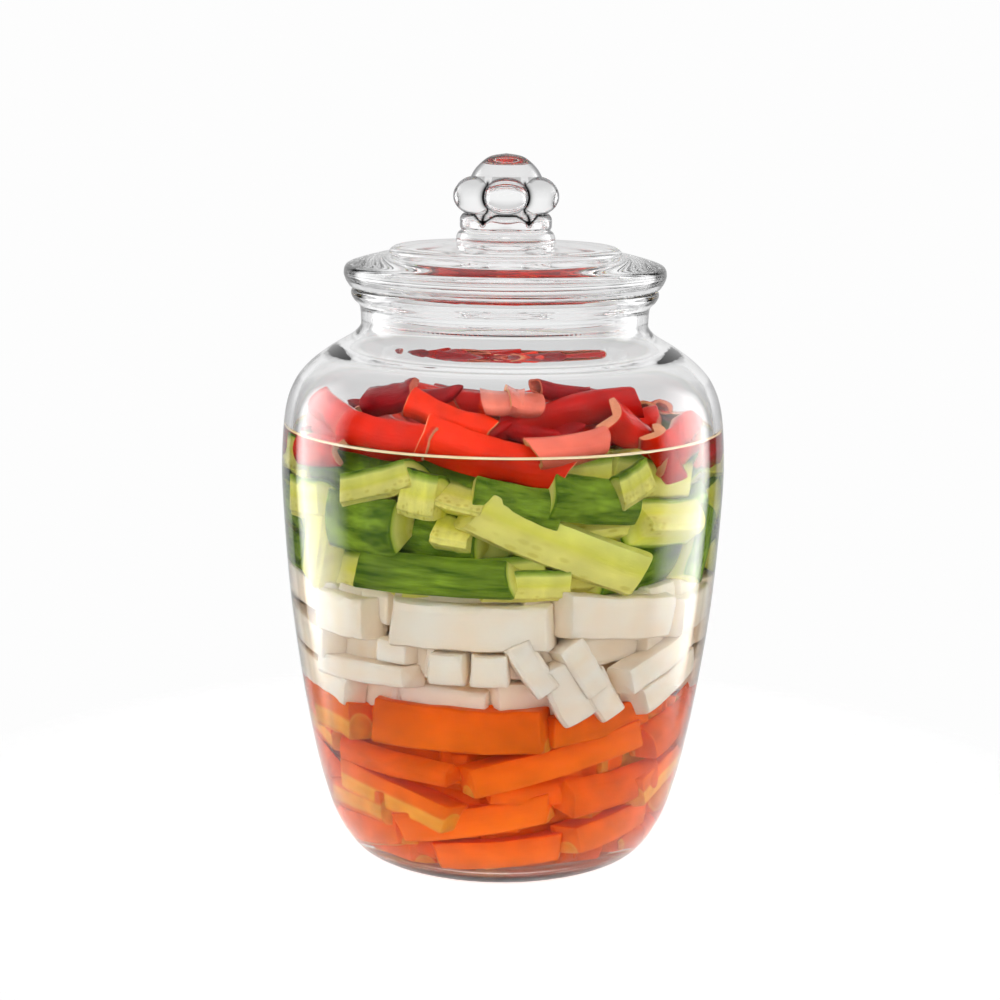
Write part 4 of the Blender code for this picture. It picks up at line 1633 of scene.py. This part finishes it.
def surroundings(tree, turn, rise):
    """What shows through the clear glass: a white backdrop between dark side panels."""
    level = grey_ramp(
        tree,
        turn,
        (
            (0.0, SEEN_FRONT),
            (0.43, SEEN_FRONT),
            (0.47, SEEN_FLAG),
            (0.58, SEEN_FLAG),
            (0.63, SEEN_SIDE),
            (0.93, BACKDROP),
        ),
    )
    upper = range_of(tree, rise, -0.08, 0.05, 0.0, 1.0)
    bright = blended(tree, upper, level, times(tree, level, SEEN_RISE))
    below = range_of(tree, rise, -0.42, -0.24, 1.0, 0.0)
    ground = blended(tree, below, bright, grey(SEEN_GROUND))
    above = range_of(tree, rise, 0.55, 0.8, 0.0, 1.0)
    return blended(tree, above, ground, grey(SEEN_ABOVE))


def make_world():
    world = bpy.data.worlds.new("studio")
    bpy.context.scene.world = world
    world.use_nodes = True
    tree = world.node_tree
    background = tree.nodes["Background"]
    place = add(tree, "ShaderNodeTexCoord").outputs["Generated"]
    parts = add(tree, "ShaderNodeSeparateXYZ", {"Vector": place}).outputs
    towards = maths(tree, "MULTIPLY", parts["Y"], -1.0)
    angle = maths(tree, "ABSOLUTE", maths(tree, "ARCTAN2", parts["X"], towards))
    turn = range_of(tree, angle, 0.0, math.pi, 0.0, 1.0)
    path = add(tree, "ShaderNodeLightPath").outputs
    lights = maths(tree, "ADD", path["Is Reflection Ray"], path["Diffuse Depth"], use_clamp=True)
    seen = surroundings(tree, turn, parts["Z"])
    studio = blended(tree, lights, seen, lighting(tree, turn, parts["Z"]))
    shown = blended(tree, path["Is Camera Ray"], studio, grey(WHITE_BEHIND))
    tree.links.new(shown, background.inputs["Color"])
    background.inputs["Strength"].default_value = 1.0


def make_camera():
    data = bpy.data.cameras.new("camera")
    camera = linked("camera", data)
    pitch = math.atan((0.5 * PHOTO_SIDE - HORIZON_ROW) / FOCAL_PIXELS)
    distance = FOCAL_PIXELS * PIXEL_AT_AXIS
    camera.location = (0.0, -distance * math.cos(pitch), AIM_HEIGHT + distance * math.sin(pitch))
    look = Euler((math.pi / 2 - pitch, 0.0, 0.0)).to_matrix()
    roll = Matrix.Rotation(math.radians(CAMERA_ROLL), 3, "Z")
    camera.rotation_euler = (look @ roll).to_euler()
    data.sensor_width = SENSOR
    data.lens = SENSOR * FOCAL_PIXELS / PHOTO_SIDE
    data.shift_x = (0.5 * PHOTO_SIDE - AXIS_COLUMN) / PHOTO_SIDE
    bpy.context.scene.camera = camera


def main():
    mottle = mottle_group()
    fibres = fibre_group()
    make_camera()
    make_floor()
    make_world()
    bpy.context.scene.view_settings.view_transform = "Standard"
    for label, count in (("max", 24), ("transmission", 24), ("glossy", 8), ("diffuse", 6)):
        setattr(bpy.context.scene.cycles, label + "_bounces", count)
    glass = glass_material(mottle)
    jar = make_jar(glass)
    lid = make_lid(glass)
    brine = make_brine(
        brine_material(mottle, "brine", 0.0),
        brine_material(mottle, "brine_surface", 1.0),
        meniscus_highlight_material(mottle),
    )
    tree = piece_field()
    carrot = stick_layer(
        "carrot_sticks",
        carrot_shapes(),
        (CARROT_BOTTOM, CARROT_TOP),
        CARROT_FRONT,
        tree,
        carrot_material(mottle, fibres),
        (13, 50),
        ["slab", "streak", "rounded"],
    )
    radish = stick_layer(
        "radish_sticks",
        radish_shapes(),
        (CARROT_TOP - 8 * MM, RADISH_TOP + 3 * MM),
        RADISH_FRONT,
        tree,
        radish_material(mottle, fibres),
        (14, 46),
        ["block"],
        "end",
        skin_and_gap_shade=1.0,
    )
    cucumber = stick_layer(
        "cucumber_sticks",
        cucumber_shapes(),
        (RADISH_TOP - 4 * MM, CUCUMBER_TOP + 6 * MM),
        CUCUMBER_FRONT,
        tree,
        cucumber_material(mottle, fibres),
        (16, 46),
        ["skin_out", "flesh_out", "skin_up", "core_out"],
    )
    chilli = chilli_layer(tree, chilli_material(mottle, fibres))
    for piece, node, slot in (
        (jar, "glass_jar", "clear_glass"),
        (lid, "glass_lid", "clear_glass"),
        (carrot, "carrot_layer", "carrot"),
        (radish, "radish_layer", "radish"),
        (cucumber, "cucumber_layer", "cucumber"),
        (chilli, "chilli_layer", "chilli"),
    ):
        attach(piece, "root")
        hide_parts(node)
    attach(brine, "root")


main()
bpy.context.view_layer.update()
